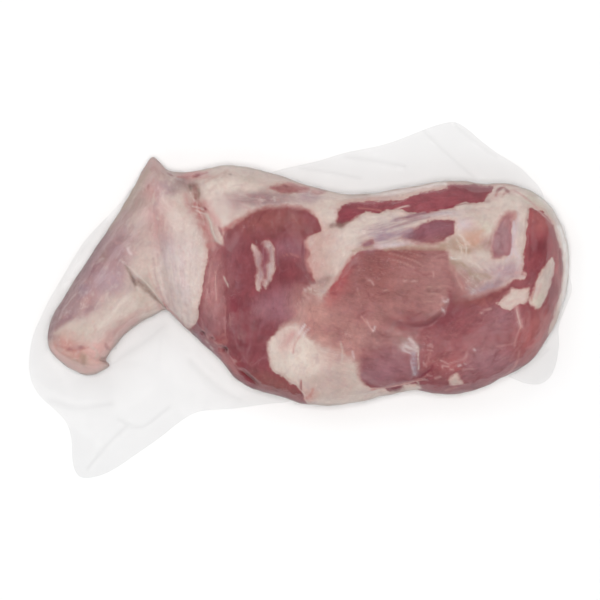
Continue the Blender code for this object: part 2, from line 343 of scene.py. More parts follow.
# Fat that lies on the lean
FAT_OUTLINES = {
    "fork_left": (
        (252.8, 243.3), (258.3, 249), (262.4, 257), (262.4, 262), (261, 266), (263, 270.5),
        (264.6, 275.4), (264.2, 279.4), (262, 282.2), (262, 288), (258.3, 292), (256, 286.2),
        (256.2, 280.2), (257.9, 274.2), (258.4, 270.5), (256.2, 264), (255.6, 258), (253.6, 252),
    ),
    "fork_right": (
        (263.5, 242.5), (267, 241.3), (270.7, 242.6), (273.2, 247.3), (274.2, 254), (275, 262),
        (276, 268), (275.5, 272.2), (272.3, 278.2), (269, 284.2), (266.5, 288.3), (263.3, 286),
        (264.4, 281), (267.2, 278), (267, 272), (266.3, 266), (269.8, 262.5), (270, 257.5),
        (268.6, 252), (265.5, 248.5),
    ),
    "neck_long": (
        (550, 257.5), (552.5, 263), (550.5, 275), (546, 290), (541.3, 301), (534.5, 309.3),
        (526, 303), (528, 295), (531.5, 285), (536.5, 273.5), (543, 265),
    ),
    "neck_square": (
        (493.5, 303.5), (499.5, 298), (505, 293), (509, 289), (518.5, 289.3), (526, 288),
        (525.3, 295), (523.5, 303), (514, 305.5), (508, 309.5), (501, 308.5), (496.5, 306),
    ),
    "neck_nub": ((512, 271), (516, 274), (522, 273), (522, 279), (516, 280), (511, 277)),
    "rim_spot": ((455, 372.5), (458, 377), (462, 382), (456, 384), (449, 384), (448, 378)),
}

# Turns of the muscle fibres: (middle, half length, half width, turn, turn of the fibres)
FIBRES = (
    ((110, 268), 80, 40, 57, 57),
    ((260, 300), 44, 110, 0, 84),
    ((395, 300), 70, 60, 0, -12),
    ((415, 200), 90, 16, 6, 5),
    ((430, 232), 30, 14, 10, 14),
    ((475, 345), 55, 50, 0, 34),
    ((530, 330), 25, 40, 0, 62),
    ((540, 240), 22, 45, 0, 78),
    ((500, 235), 14, 24, 0, 80),
    ((385, 232), 60, 22, 12, 13),
    ((265, 200), 60, 14, 0, -6),
    ((190, 265), 22, 60, 0, 84),
    ((158, 215), 16, 40, 0, 88),
    ((330, 255), 24, 34, 0, 60),
    ((465, 275), 20, 20, 0, -40),
    ((205, 212), 14, 30, 28, 118),
)

# Tints of lean and fat: (middle, half length, half width, turn, tissue, share)
LEAN_TINTS = (
    ((270, 222), 56, 16, -4, "brown_lean", 0.9),
    ((318, 222), 10, 12, 0, "dark_lean", 0.8),
    ((291, 249), 13, 9, 0, "mauve", 0.75),
    ((292, 272), 17, 14, 0, "deep_lean", 0.55),
    ((281, 306), 24, 16, 0, "mauve", 0.9),
    ((262, 312), 10, 10, 0, "violet_lean", 0.7),
    ((300, 300), 12, 10, 0, "blush", 0.3),
    ((232, 300), 8, 9, 0, "wine_lean", 0.8),
    ((234, 262), 6, 26, 0, "violet_lean", 0.25),
    ((250, 322), 9, 10, 0, "deep_lean", 0.5),
    ((246, 352), 11, 13, 0, "deep_lean", 0.4),
    ((246, 374), 18, 8, -45, "wine_lean", 0.8),
    ((276, 382), 30, 9, -28, "brown_lean", 1.0),
    ((228, 362), 16, 6, -48, "bright_lean", 0.7),
    ((395, 300), 78, 60, 0, "rose_lean", 1.0),
    ((470, 345), 62, 46, 10, "plum_lean", 1.0),
    ((375, 268), 18, 18, 0, "brown_lean", 0.6),
    ((341, 282), 20, 7, 58, "bright_lean", 0.85),
    ((347, 291), 10, 8, 40, "bright_lean", 0.4),
    ((330, 299), 13, 7, 40, "bright_lean", 0.65),
    ((405, 257), 26, 6, -8, "brown_lean", 0.7),
    ((438, 262), 20, 16, 0, "salmon_lean", 0.8),
    ((436, 294), 16, 20, 0, "salmon_lean", 0.9),
    ((400, 295), 20, 14, 0, "rose_lean", 0.8),
    ((372, 292), 22, 14, 0, "brown_lean", 0.4),
    ((335, 318), 32, 18, 0, "blush", 0.55),
    ((357, 328), 14, 14, 0, "salmon_fat", 0.6),
    ((386, 339), 34, 10, 0, "salmon_lean", 0.95),
    ((312, 314), 20, 18, 0, "salmon_fat", 0.75),
    ((345, 345), 18, 12, 0, "blush", 0.9),
    ((384, 368), 28, 18, 0, "violet_lean", 0.95),
    ((376, 379), 18, 7, 24, "mauve", 0.5),
    ((412, 323), 26, 6, 4, "dark_lean", 0.6),
    ((448, 317), 24, 9, 30, "dark_lean", 1.0),
    ((478, 299), 30, 6, 6, "brown_lean", 0.9),
    ((455, 326), 24, 12, 20, "dark_lean", 0.5),
    ((497, 320), 18, 14, 0, "violet_lean", 0.85),
    ((482, 365), 30, 16, 8, "violet_lean", 1.0),
    ((448, 362), 26, 13, 10, "coral_lean", 0.55),
    ((430, 345), 12, 16, 0, "plum_lean", 0.9),
    ((426, 373), 12, 5, 34, "wine_lean", 0.8),
    ((468, 389), 40, 6, -4, "dark_lean", 0.6),
    ((532, 334), 18, 30, -22, "coral_lean", 1.0),
    ((545, 318), 14, 12, 40, "coral_lean", 0.6),
    ((540, 240), 24, 44, 0, "neck_lean", 1.0),
    ((539, 221), 16, 12, -30, "coral_lean", 0.95),
    ((536, 248), 9, 14, 0, "deep_lean", 0.55),
    ((557, 276), 6, 34, 0, "coral_lean", 0.85),
    ((520, 284), 14, 6, 0, "plum_lean", 0.6),
    ((214, 284), 14, 48, 0, "left_strip", 1.0),
    ((206, 322), 12, 10, 0, "violet_lean", 0.45),
    ((219, 338), 9, 7, 0, "string_red", 0.5),
    ((415, 200), 90, 15, 6, "strip_lean", 1.0),
    ((345, 213), 13, 10, 0, "wine_lean", 0.45),
    ((470, 192), 20, 6, 0, "dark_lean", 0.6),
    ((430, 232), 30, 14, 10, "window_violet", 1.0),
    ((406, 237), 9, 6, 10, "lavender_blue", 0.8),
    ((367, 245), 9, 6, 0, "mauve_dark", 1.0),
    ((500, 238), 16, 28, 0, "window_pink", 1.0),
    ((506, 218), 9, 8, 0, "rose_string", 0.6),
    ((290, 189), 24, 9, 0, "rose_string", 1.0),
    ((318, 192), 9, 5, 0, "pink_fat", 1.0),
    ((308, 297), 14, 11, 0, "rose_lean", 1.0),
    ((357, 318), 11, 12, 0, "plum_lean", 0.7),
    ((322, 337), 9, 6, 0, "salmon_fat", 0.8),
    ((370, 376), 12, 7, 10, "violet_lean", 0.9),
)

FAT_TINTS = (
    ((138, 198), 30, 13, 57, "grey_fat", 0.9),
    ((151, 168), 14, 16, 60, "tan_pink", 1.0),
    ((150, 191), 13, 10, 0, "pink_fat", 1.0),
    ((167, 191), 11, 9, 0, "lavender", 0.85),
    ((160, 222), 17, 24, 0, "pink_fat", 1.0),
    ((166, 243), 13, 11, 0, "lavender", 0.45),
    ((172, 252), 11, 9, 0, "lavender_pale", 0.7),
    ((140, 232), 10, 12, 0, "cream_grey", 0.6),
    ((131, 204), 9, 15, -30, "grey_fat", 0.75),
    ((103, 273), 64, 25, 57, "mauve_pink", 1.0),
    ((121, 241), 12, 9, 50, "mauve_dark", 0.4),
    ((74, 302), 40, 8, 57, "mauve_dark", 0.55),
    ((112, 279), 17, 11, 57, "lavender", 0.9),
    ((106, 255), 7, 7, 0, "brown_spots_and_shade", 0.55),
    ((94, 270), 9, 6, 50, "mauve_dark", 0.8),
    ((120, 246), 12, 8, 40, "mauve_dark", 0.35),
    ((85, 290), 8, 6, 30, "lavender_blue", 0.8),
    ((90, 301), 9, 6, 40, "coral_fat", 0.3),
    ((94, 308), 8, 4, 30, "mauve_dark", 0.6),
    ((68, 320), 10, 8, 50, "mauve_dark", 0.8),
    ((57, 329), 11, 6, 55, "mauve_dark", 0.8),
    ((84, 330), 30, 8, 18, "cream_grey", 1.0),
    ((112, 318), 20, 12, 40, "cream", 1.0),
    ((140, 300), 24, 14, 30, "cream_grey", 0.95),
    ((132, 321), 22, 5, 34, "pink_fat", 0.55),
    ((114, 338), 22, 9, 44, "pink_fat", 0.8),
    ((78, 352), 34, 14, -22, "salmon_fat", 1.0),
    ((66, 346), 14, 6, -10, "coral_fat", 0.3),
    ((88, 360), 6, 7, 0, "bone_grey", 0.75),
    ((74, 362), 9, 5, -30, "bone_grey", 0.5),
    ((62, 350), 6, 5, -30, "tan_grey", 0.6),
    ((103, 349), 13, 12, 45, "shell_pink", 0.95),
    ((183, 180), 16, 7, -20, "grey_mauve", 0.9),
    ((178, 190), 9, 7, 0, "grey_mauve", 0.7),
    ((198, 176), 20, 4, -2, "string_pink", 0.85),
    ((192, 240), 11, 40, 8, "cream", 1.0),
    ((184, 280), 18, 46, -8, "silver", 0.95),
    ((196, 290), 5, 36, 8, "cream_light", 0.5),
    ((152, 288), 8, 12, 30, "brown_shade", 0.35),
    ((164, 300), 5, 12, 25, "blush_fat", 0.7),
    ((240, 176), 60, 8, -8, "cream_grey", 0.4),
    ((228, 190), 28, 9, 0, "cream_light", 0.95),
    ((231, 190), 18, 8, 0, "fat_white", 0.95),
    ((306, 184), 40, 5, -10, "blush_fat", 0.6),
    ((238, 204), 18, 11, 30, "mauve_pink", 0.75),
    ((270, 202), 28, 9, -6, "grey_mauve", 0.9),
    ((263, 203), 15, 7, -6, "mauve_dark", 0.6),
    ((308, 199), 14, 7, -8, "lavender", 0.85),
    ((224, 220), 14, 10, 40, "cream", 0.6),
    ((326, 212), 9, 16, 0, "cream_light", 0.85),
    ((320, 252), 16, 34, 12, "blush_fat", 0.9),
    ((313, 264), 8, 18, 10, "string_pink", 0.6),
    ((336, 246), 12, 16, 20, "cream", 0.45),
    ((324, 282), 9, 6, 0, "brown_spots_and_shade", 0.7),
    ((311, 291), 11, 7, 0, "brown_pink", 0.85),
    ((355, 234), 22, 12, 14, "cream_light", 1.0),
    ((296, 350), 30, 24, 0, "cream_light", 1.0),
    ((306, 356), 16, 20, 0, "fat_white", 1.0),
    ((286, 340), 8, 12, -10, "pink_fat", 0.7),
    ((336, 354), 22, 18, 0, "blush_fat", 1.0),
    ((334, 383), 34, 11, 4, "tan_grey", 0.95),
    ((352, 372), 8, 16, 0, "cream_grey", 0.7),
    ((308, 394), 9, 8, 0, "salmon_fat", 0.9),
    ((392, 222), 40, 5, 12, "lavender", 0.7),
    ((386, 234), 26, 8, 14, "lavender_blue", 1.0),
    ((358, 243), 8, 6, 0, "grey_mauve", 0.8),
    ((474, 254), 10, 7, 0, "bone_grey", 0.8),
    ((292, 331), 10, 6, 0, "pink_fat", 0.8),
    ((391, 228), 11, 5, 14, "lavender_blue", 0.6),
    ((375, 218), 20, 5, 6, "cream_light", 0.8),
    ((396, 245), 34, 4, 2, "lavender_pale", 0.85),
    ((410, 250), 34, 4, 0, "olive_tan", 0.8),
    ((452, 249), 9, 8, 0, "olive_tan", 0.85),
    ((448, 213), 28, 4, 10, "lavender_pale", 0.85),
    ((417, 218), 16, 4, 14, "mauve_pink", 0.9),
    ((470, 212), 22, 9, 10, "cream", 0.9),
    ((461, 226), 9, 9, 0, "lavender_pale", 0.9),
    ((471, 241), 15, 12, 30, "bone_tan", 1.0),
    ((485, 243), 7, 10, 0, "mauve_brown", 0.9),
    ((484, 226), 8, 6, 0, "olive_cream", 0.7),
    ((457, 253), 10, 6, 10, "bone_cream", 0.5),
    ((480, 262), 12, 10, 0, "cream", 0.9),
    ((468, 281), 20, 14, -8, "fibre_grey", 1.0),
    ((456, 264), 10, 6, -30, "bone_grey", 0.8),
    ((457, 284), 7, 14, -30, "rose_string", 0.7),
    ((466, 250), 6, 4, -20, "bone_grey", 0.5),
    ((478, 277), 12, 4, -8, "bone_grey", 0.6),
    ((501, 272), 15, 12, 10, "lavender", 1.0),
    ((484, 290), 20, 5, 12, "lavender_blue", 0.9),
    ((496, 285), 5, 4, 0, "mauve_dark", 0.6),
    ((510, 275), 5, 4, 0, "mauve_pink", 0.7),
    ((455, 379), 9, 8, 0, "tan_grey", 0.9),
    ((514, 240), 4, 30, 0, "lavender_pale", 0.9),
    ((519, 236), 5, 36, 0, "cream", 0.9),
    ((512, 200), 24, 10, -16, "cream_light", 0.9),
    ((541, 202), 16, 9, -32, "olive_cream", 0.9),
    ((400, 194), 50, 5, 8, "blush_fat", 0.7),
    ((560, 235), 8, 26, 10, "cream", 0.8),
    ((565, 268), 7, 34, 0, "cream_light", 1.0),
    ((264, 264), 15, 28, 0, "fork_grey", 1.0),
    ((257, 254), 4, 10, 12, "pink_fat", 0.3),
    ((268, 252), 7, 10, 0, "mauve_dark", 0.6),
    ((552, 264), 6, 10, 20, "cream_light", 0.8),
    ((536, 300), 8, 8, 0, "olive_cream", 0.8),
)

# Streaks of silverskin over fat: (middle, half length, half width, turn, share)
STREAKED = (
    ((405, 226), 62, 18, 10, 0.8),
    ((265, 203), 52, 10, -2, 0.35),
    ((500, 272), 26, 16, 0, 0.35),
    ((460, 275), 20, 20, 0, 0.35),
    ((186, 280), 20, 60, 0, 0.3),
    ((110, 270), 70, 24, 57, 0.12),
    ((160, 215), 16, 40, 0, 0.3),
    ((264, 264), 14, 26, 0, 0.6),
    ((206, 214), 14, 34, 28, 0.5),
    ((336, 356), 20, 24, 0, 0.5),
)

# Pale flecks and strings in the lean: (middle, half length, half width, turn, share)
MARBLED = (
    ((450, 363), 24, 12, 10, 1.0),
    ((400, 268), 50, 22, 0, 0.7),
    ((436, 294), 16, 20, 0, 0.8),
    ((375, 330), 24, 12, 0, 0.7),
    ((470, 352), 50, 34, 0, 0.5),
    ((430, 350), 10, 22, 0, 0.9),
    ((220, 336), 18, 12, 0, 0.8),
    ((216, 290), 12, 44, 0, 0.5),
    ((495, 320), 24, 20, 0, 0.5),
    ((240, 360), 16, 14, -40, 0.6),
    ((365, 300), 30, 26, 0, 0.5),
    ((320, 315), 30, 20, 0, 0.6),
    ((540, 330), 16, 30, 0, 0.5),
    ((245, 325), 16, 24, 0, 0.5),
)

# Holes and creases darkened with painted shade over the meat's dark red, then red spots of blood:
# (middle, half length, half width, turn, share)
DARK_SHADE_MARKS = (
    ((224.3, 349.4), 2.9, 2.4, 0, 1.0),
    ((203, 333), 3.0, 1.7, -40, 0.9),
    ((212, 338), 2.6, 1.4, 0, 0.6),
    ((251, 378), 8, 2.0, -40, 0.4),
    ((134, 280), 6, 2.0, -58, 0.45),
    ((270, 285), 1.8, 3.4, 0, 0.5),
    ((103, 358), 1.5, 1.3, 0, 0.3),
    ((340, 224), 5, 3.0, 0, 0.3),
    ((397, 389.5), 7, 2.4, 8, 0.4),
    ((194, 186), 5, 2.6, 0, 0.3),
    ((219, 201), 1.1, 1.0, 0, 0.35),
    ((231, 176), 1.6, 1.2, 0, 0.3),
)
BLOOD_MARKS = (
    ((171, 175), 3.6, 1.6, -20, 0.6),
    ((198, 177), 3.6, 1.8, 15, 0.8),
    ((149.5, 187), 1.4, 3.0, 0, 0.45),
    ((71, 349), 3.4, 2.0, 0, 0.5),
    ((83, 347), 3.2, 1.8, 0, 0.55),
    ((107, 347), 1.8, 3.2, 30, 0.45),
    ((301, 385), 1.3, 4.4, 0, 0.65),
    ((498, 191), 4.6, 1.8, 30, 0.85),
    ((505, 192), 3.6, 1.8, -40, 0.8),
    ((486, 203), 3, 2, 20, 0.4),
    ((216, 339), 8, 3.0, 10, 0.5),
    ((520, 276), 2.0, 1.6, 0, 0.5),
    ((282, 276), 6, 4, 0, 0.25),
    ((232, 299), 4, 4, 0, 0.3),
)

# Brush strokes over fat and lean alike, some of them painted highlights and painted shade:
# (points, half width, tissue, share)
STROKES = (
    # Shank and elbow
    (((148, 171), (135, 191), (119, 216), (109, 231)), 3.6, "bone_grey", 0.6),
    # The shank's purple outer edge, darkened with painted shade where it turns away from the light
    (((107, 234), (92, 259), (68, 298), (54.5, 323), (51, 336)), 4.0, "rim_shade_mauve", 0.85),
    (((126, 212), (104, 246), (80, 284), (62, 314)), 3.0, "mauve_dark", 0.4),
    (((124, 262), (134, 271), (143, 279), (154, 291), (166, 308)), 0.9, "cream_light", 0.55),
    (((127, 266), (132, 275), (137, 285)), 1.3, "brown_shade", 0.8),
    (((139, 283), (148, 291), (157, 299), (165, 306)), 2.2, "brown_shade", 0.75),
    (((154.6, 259), (156, 274), (161, 291), (168, 306)), 1.5, "mauve_pink", 0.45),
    (((149, 268), (153, 281), (160, 294), (167, 307)), 0.8, "vein_pink", 0.3),
    (((165, 303), (172, 311), (182, 322), (192, 333)), 1.4, "string_pink", 0.7),
    (((127, 298), (120, 306), (114, 312), (108, 319), (101, 326)), 2.8, "cream_light", 0.7),
    (((58, 333), (70, 326), (84, 322), (98, 316)), 2.6, "cream", 0.6),
    (((116, 330), (126, 325), (138, 320)), 2.2, "pink_fat", 0.5),
    (((129.5, 249), (130.5, 252), (132.5, 254.5)), 1.2, "glint", 0.7),
    (((64, 352), (72, 356), (80, 356)), 1.6, "coral_fat", 0.4),
    (((86, 356), (85, 363), (88, 370)), 1.6, "brown_shade", 0.4),
    (((92, 346), (98, 351), (97, 358)), 1.3, "cream_grey", 0.6),
    (((106, 343), (110, 350), (105, 358)), 1.2, "string_red", 0.3),
    (((58, 345), (66, 347), (76, 350), (90, 347)), 1.1, "string_red", 0.35),
    (((55, 350), (66, 360), (84, 369), (98, 366)), 5.0, "shell_pink", 0.85),
    # Hollow and strings behind the elbow
    (((178, 176.5), (183, 177), (188, 178.5)), 1.3, "string_red", 0.6),
    (((186, 176.5), (196, 175.5), (207, 173.5)), 2.0, "string_pink", 0.7),
    (((193.5, 178.5), (200, 176.5), (207.5, 173.8)), 0.8, "string_red", 0.55),
    (((180, 182), (186, 184), (190, 189)), 4.0, "grey_mauve", 0.75),
    (((187, 196), (188, 204), (193, 212)), 3.2, "string_pink", 0.6),
    (((195.5, 189), (197, 196), (197, 205)), 5.0, "brown_pink", 1.0),
    (((189, 185), (190.5, 187.5), (191, 190)), 1.6, "brown_shade", 0.9),
    (((199.5, 190), (200.8, 195), (200, 199)), 1.2, "brown_shade", 0.8),
    (((207, 205), (213, 216), (219, 226), (222, 232)), 4.6, "string_pink", 0.75),
    (((198, 207), (203, 221), (209, 234), (213, 245)), 6.2, "rose_string", 1.0),
    (((196, 205), (201, 209), (206, 213)), 2.6, "string_red", 0.55),
    (((193.5, 207.2), (199, 208.3), (204, 210.5)), 0.8, "cream_light", 0.8),
    (((197, 211), (202, 213.5), (207, 215)), 0.8, "cream_light", 0.6),
    (((206, 209), (207.6, 210.8)), 1.0, "wine_lean", 0.7),
    (((203, 219), (205, 222)), 1.4, "brown_shade", 0.35),
    (((208.2, 216), (211.4, 223.8), (214, 233.5), (217.5, 240.5), (222, 244)), 1.6, "cream", 0.85),
    (((217, 229), (220, 234), (223, 240)), 1.1, "cream", 0.5),
    (((220, 228.5), (222, 232), (223.2, 236)), 1.1, "wine_lean", 0.7),
    (((209, 242.5), (216, 241.5)), 0.9, "grey_mauve", 0.6),
    (((225, 231), (231, 226.5), (239, 221)), 2.2, "bright_lean", 0.6),
    (((206, 184), (216, 178), (228, 172)), 1.2, "blush_fat", 0.6),
    # Brisket side
    (((217, 272), (216.5, 284), (217.5, 300)), 0.8, "pink_fat", 0.55),
    (((212, 262), (210, 282), (206, 306)), 0.8, "pink_fat", 0.3),
    # Painted glint of the film, in cream_light
    (((225, 277), (226.5, 281), (229, 286)), 0.9, "cream_light", 0.7),
    (((227, 244), (226.5, 270), (228, 300), (228, 330)), 1.6, "deep_lean", 0.25),
    (((197, 334), (205, 342), (213, 350), (222, 359)), 2.6, "mauve", 0.7),
    (((211, 337), (218, 339), (225, 341)), 3.0, "string_red", 0.6),
    (((202, 318), (203.7, 324), (204.4, 330), (209, 338), (219, 344)), 0.8, "string_pink", 0.4),
    (((213, 339.5), (219, 337), (225, 334)), 0.8, "coral_fat", 0.6),
    (((216, 341), (222, 344), (225.5, 340)), 0.8, "coral_fat", 0.5),
    (((226.4, 306), (226.2, 318), (226, 330), (227.4, 344)), 0.7, "vein_pink", 0.35),
    (((231, 314), (231, 326)), 0.7, "vein_pink", 0.4),
    (((220.5, 347), (221, 352), (227, 353), (229, 348)), 0.9, "vein_pink", 0.5),
    (((206, 340.5), (208, 343)), 0.9, "cream", 0.5),
    (((211, 346.5), (213.5, 349.5)), 0.9, "cream", 0.5),
    (((224, 357), (230, 364), (237, 372)), 2.6, "coral_lean", 0.6),
    (((231, 356), (236, 364), (245, 372)), 0.8, "vein_pink", 0.4),
    (((235.5, 360), (236.5, 361)), 1.1, "pink_fat", 0.7),
    # The slit: dark red meat with painted shade in it
    (((243, 371.5), (250, 377), (257, 382)), 2.3, "slit_shade_red", 0.85),
    (((284, 256), (292, 255), (299, 257)), 0.9, "coral_fat", 0.45),
    (((263.5, 248), (264.5, 262), (265.5, 274)), 1.0, "mauve", 0.6),
    (((267, 250), (267.6, 256), (267.8, 261)), 1.5, "mauve", 0.5),
    (((277, 246), (278, 256), (278, 266)), 1.6, "mauve_dark", 0.25),
    (((303, 291), (309, 287), (315, 284)), 1.4, "silver", 0.35),
    (((296, 306), (304, 300), (312, 298)), 1.2, "pink_fat", 0.5),
    (((292, 216), (296, 222), (300, 226)), 0.8, "coral_fat", 0.3),
    (((262, 325), (270, 318), (282, 314)), 2.4, "mauve", 0.4),
    (((250, 332), (251, 344), (249, 356)), 2.2, "violet_lean", 0.2),
    (((306, 242), (308, 252), (306, 262), (310, 272)), 1.8, "vein_pink", 0.5),
    (((311, 283), (319, 282), (327, 279)), 2.2, "brown_spots_and_shade", 0.5),
    # Painted shade at the left end of the upper strip
    (((330, 227), (335, 226), (341, 227)), 2.8, "brown_spots_and_shade", 0.85),
    # Lower fat pad
    (((293, 352), (295, 343), (300, 335)), 1.1, "string_pink", 0.75),
    (((287, 345), (290, 338), (294, 332)), 0.9, "string_pink", 0.5),
    (((299, 333), (302, 328), (305, 325)), 1.1, "glint", 0.85),
    (((303, 335), (306, 331), (309, 328)), 0.9, "glint", 0.7),
    (((301, 379), (301, 389)), 0.9, "string_red", 0.8),
    (((305, 398), (311, 393), (313, 388)), 1.5, "coral_fat", 0.7),
    (((330, 344), (331, 356), (329, 368)), 1.2, "pink_fat", 0.4),
    (((340, 342), (342, 352), (341, 362)), 1.0, "cream_grey", 0.6),
    (((352, 351), (353, 357)), 1.1, "glint", 0.5),
    # Upper strip and blade
    (((394, 210.5), (401, 208), (408, 206.5)), 0.9, "pink_fat", 0.8),
    (((358, 209), (368, 210), (380, 211.5)), 0.9, "coral_fat", 0.5),
    (((402, 220), (412, 216.5), (436, 211), (452, 207), (468, 204.5)), 0.8, "wine_lean", 0.7),
    (((394, 221), (408, 217.5), (424, 214)), 1.5, "mauve_dark", 0.75),
    (((398, 227), (412, 222.5), (428, 218.5)), 1.0, "mauve_dark", 0.55),
    (((386, 233), (398, 229), (412, 226.5), (424, 222)), 1.3, "cream_light", 0.55),
    (((374, 240), (386, 237), (398, 235), (410, 231)), 1.8, "lavender_blue", 0.8),
    (((346, 232), (358, 229), (372, 224), (390, 219)), 1.6, "cream_light", 0.6),
    (((352, 252), (361, 249), (372, 247.5)), 1.4, "olive_tan", 0.6),
    (((384, 250.5), (404, 249.5), (426, 250), (446, 250)), 1.5, "olive_tan", 0.6),
    (((350, 243), (358, 241), (366, 238)), 1.6, "cream", 0.6),
    (((338, 225), (342, 226), (347, 223)), 1.4, "brown_shade", 0.7),
    # Main muscle
    (((352, 256), (344, 268), (335, 283), (324, 298)), 1.8, "bright_lean", 0.6),
    (((388, 254), (400, 257), (412, 261), (422, 267)), 0.8, "salmon_fat", 0.45),
    (((390, 260), (401, 263), (412, 268)), 0.8, "salmon_fat", 0.4),
    (((396, 251), (408, 253), (420, 257)), 0.7, "salmon_fat", 0.35),
    (((402, 281), (409, 281.5), (416, 282)), 0.8, "pink_fat", 0.65),
    (((366, 279.5), (370, 281), (372, 284)), 1.0, "pink_fat", 0.65),
    (((380, 290), (392, 291)), 0.7, "salmon_fat", 0.5),
    (((356, 288), (358, 294)), 0.7, "salmon_fat", 0.5),
    (((431, 272), (431.5, 277)), 0.7, "pink_fat", 0.6),
    (((424, 288), (434, 286), (442, 290)), 0.8, "salmon_fat", 0.5),
    (((424, 295), (434, 294), (443, 298)), 0.8, "salmon_fat", 0.5),
    (((422, 302), (432, 302), (442, 305)), 0.8, "salmon_fat", 0.4),
    (((441, 300.5), (444, 302), (446, 300)), 1.2, "glint", 0.75),
    (((440, 309), (443, 312)), 1.2, "glint", 0.6),
    (((447, 292), (449, 302), (445, 312), (438, 319), (426, 324)), 2.6, "dark_lean", 0.7),
    (((398, 325), (410, 327), (424, 326)), 2.4, "dark_lean", 0.5),
    (((366, 321), (369, 327), (372, 331)), 0.9, "pink_fat", 0.7),
    (((372, 331), (374, 326)), 0.9, "glint", 0.5),
    (((360, 316), (365, 322)), 0.8, "salmon_fat", 0.5),
    (((400, 338.5), (404, 339.5)), 2.4, "brown_shade", 0.5),
    # The pale crescent: painted glare of the film over a fold
    (((403, 346.5), (408, 346), (412, 348)), 4.8, "crescent_glare", 0.9),
    (((408, 338), (412, 342.5), (414.5, 350)), 1.9, "crescent_glare", 0.8),
    (((412, 354), (412.5, 362), (414, 373)), 2.9, "fold_lilac", 0.9),
    (((416, 346), (416.8, 356), (417.2, 369)), 0.8, "cream", 0.75),
    (((414.2, 357), (414.6, 363)), 1.4, "mauve_dark", 0.6),
    (((409.5, 360), (411.5, 369), (414.5, 376)), 1.0, "lavender_pale", 0.5),
    (((401, 349), (405, 351), (408.5, 352.4)), 0.8, "glint", 0.6),
    (((362, 374), (368, 379), (380, 383.5), (392, 382)), 3.0, "mauve_pink", 0.45),
    (((398, 352), (404, 364), (408, 376)), 3.0, "violet_lean", 0.5),
    (((371, 389), (388, 386.5), (401, 384), (417, 380), (424, 379.5)), 0.9, "vein_pink", 0.6),
    (((403, 387), (411, 387), (419, 388)), 1.7, "cream", 0.8),
    (((416.5, 382), (418, 385), (418.5, 388)), 0.9, "cream", 0.6),
    (((445, 390), (450, 388.5), (455.5, 386.5)), 0.8, "vein_pink", 0.5),
    (((431, 366), (427, 371), (420, 377)), 1.4, "wine_lean", 0.7),
    (((429, 372), (423, 377), (418, 380)), 0.8, "vein_pink", 0.5),
    (((426.5, 345.5), (429, 344), (430.5, 346.5)), 0.9, "pink_fat", 0.55),
    (((426, 349.5), (430.5, 350)), 0.8, "pink_fat", 0.45),
    (((428.5, 352), (427, 358), (424.5, 364)), 0.9, "vein_pink", 0.55),
    (((422, 362), (425, 366)), 0.8, "pink_fat", 0.5),
    (((426, 374.5), (430, 375)), 0.9, "pink_fat", 0.5),
    (((434, 377.5), (439, 376)), 1.0, "pink_fat", 0.6),
    (((438.7, 360), (442, 361), (445.5, 363)), 0.8, "pink_fat", 0.65),
    (((447, 363), (454, 360.5), (460, 359)), 0.7, "pink_fat", 0.5),
    (((461, 358.5), (464, 355.5), (465, 351)), 0.9, "pink_fat", 0.45),
    (((440.5, 367), (441, 364.8), (447, 366)), 0.8, "pink_fat", 0.65),
    (((448.5, 368.5), (451.5, 369)), 0.9, "pink_fat", 0.6),
    (((456.5, 365), (458.5, 364)), 1.1, "glint", 0.55),
    (((462.3, 362.5), (463.5, 363.5)), 0.8, "silver", 0.35),
    (((461, 369), (466, 368), (472, 368.5)), 0.8, "pink_fat", 0.45),
    (((453, 369), (457, 368)), 1.3, "bright_lean", 0.6),
    (((471.5, 348.5), (472.8, 349.5)), 1.1, "glint", 0.5),
    (((478, 313), (483, 310), (488, 309)), 0.8, "pink_fat", 0.7),
    # Neck end
    (((513.5, 307), (515, 315), (518, 326)), 2.1, "pink_fat", 0.8),
    (((518.5, 326), (514, 335), (512, 345)), 1.0, "vein_pink", 0.65),
    (((494, 346), (502, 345), (511, 343)), 0.8, "vein_pink", 0.5),
    (((517, 350), (515, 362), (509, 371), (501, 378)), 1.0, "vein_pink", 0.65),
    (((508, 361), (512, 352), (518, 344)), 0.8, "vein_pink", 0.35),
    (((512, 191.5), (520, 197), (529, 203.5), (538, 213), (550, 224)), 1.0, "pink_fat", 0.8),
    (((492, 186), (504, 186), (516, 188)), 0.9, "string_pink", 0.6),
    (((490, 200), (500, 195), (512, 194)), 1.6, "pink_fat", 0.5),
    (((494, 197), (497, 191), (503, 188.5)), 1.2, "string_red", 0.6),
    (((500, 199), (504, 194), (510, 191)), 0.9, "string_red", 0.5),
    (((449, 262), (459, 264.5), (466, 270), (468, 274)), 2.2, "bone_grey", 0.8),
    (((472, 275.5), (480, 275.5), (487, 278)), 1.8, "bone_grey", 0.6),
    (((453, 274), (456, 282), (461, 290)), 1.2, "pink_fat", 0.4),
    (((448, 258), (453, 259.5), (458, 258.5)), 1.5, "cream_light", 0.9),
    (((439, 247), (450, 247.5), (459, 250.5), (466, 252)), 2.4, "olive_tan", 0.8),
    (((470, 245), (478, 247), (486, 243)), 1.5, "olive_tan", 0.5),
    (((456, 235), (461, 239), (467, 246)), 1.1, "cream_light", 0.6),
    (((466, 261), (474, 265), (479, 270)), 1.4, "cream_light", 0.6),
    (((454, 240), (458.5, 247.5), (459.5, 255)), 0.9, "cream_light", 0.7),
    (((461, 240), (464, 248.5), (463, 257)), 0.9, "cream_light", 0.6),
    (((465, 240.5), (472, 237), (480, 232)), 2.4, "bone_tan", 0.8),
    (((512.5, 274), (517, 272), (522, 274)), 1.3, "pink_fat", 0.8),
    (((560, 228), (565, 248), (567, 268)), 1.6, "cream_light", 0.6),
    # Painted highlight along the right rim, where the film catches the light
    (((558, 228), (563.5, 247), (566, 268), (564.5, 288), (560, 308)), 3.2, "rim_highlight", 1.0),
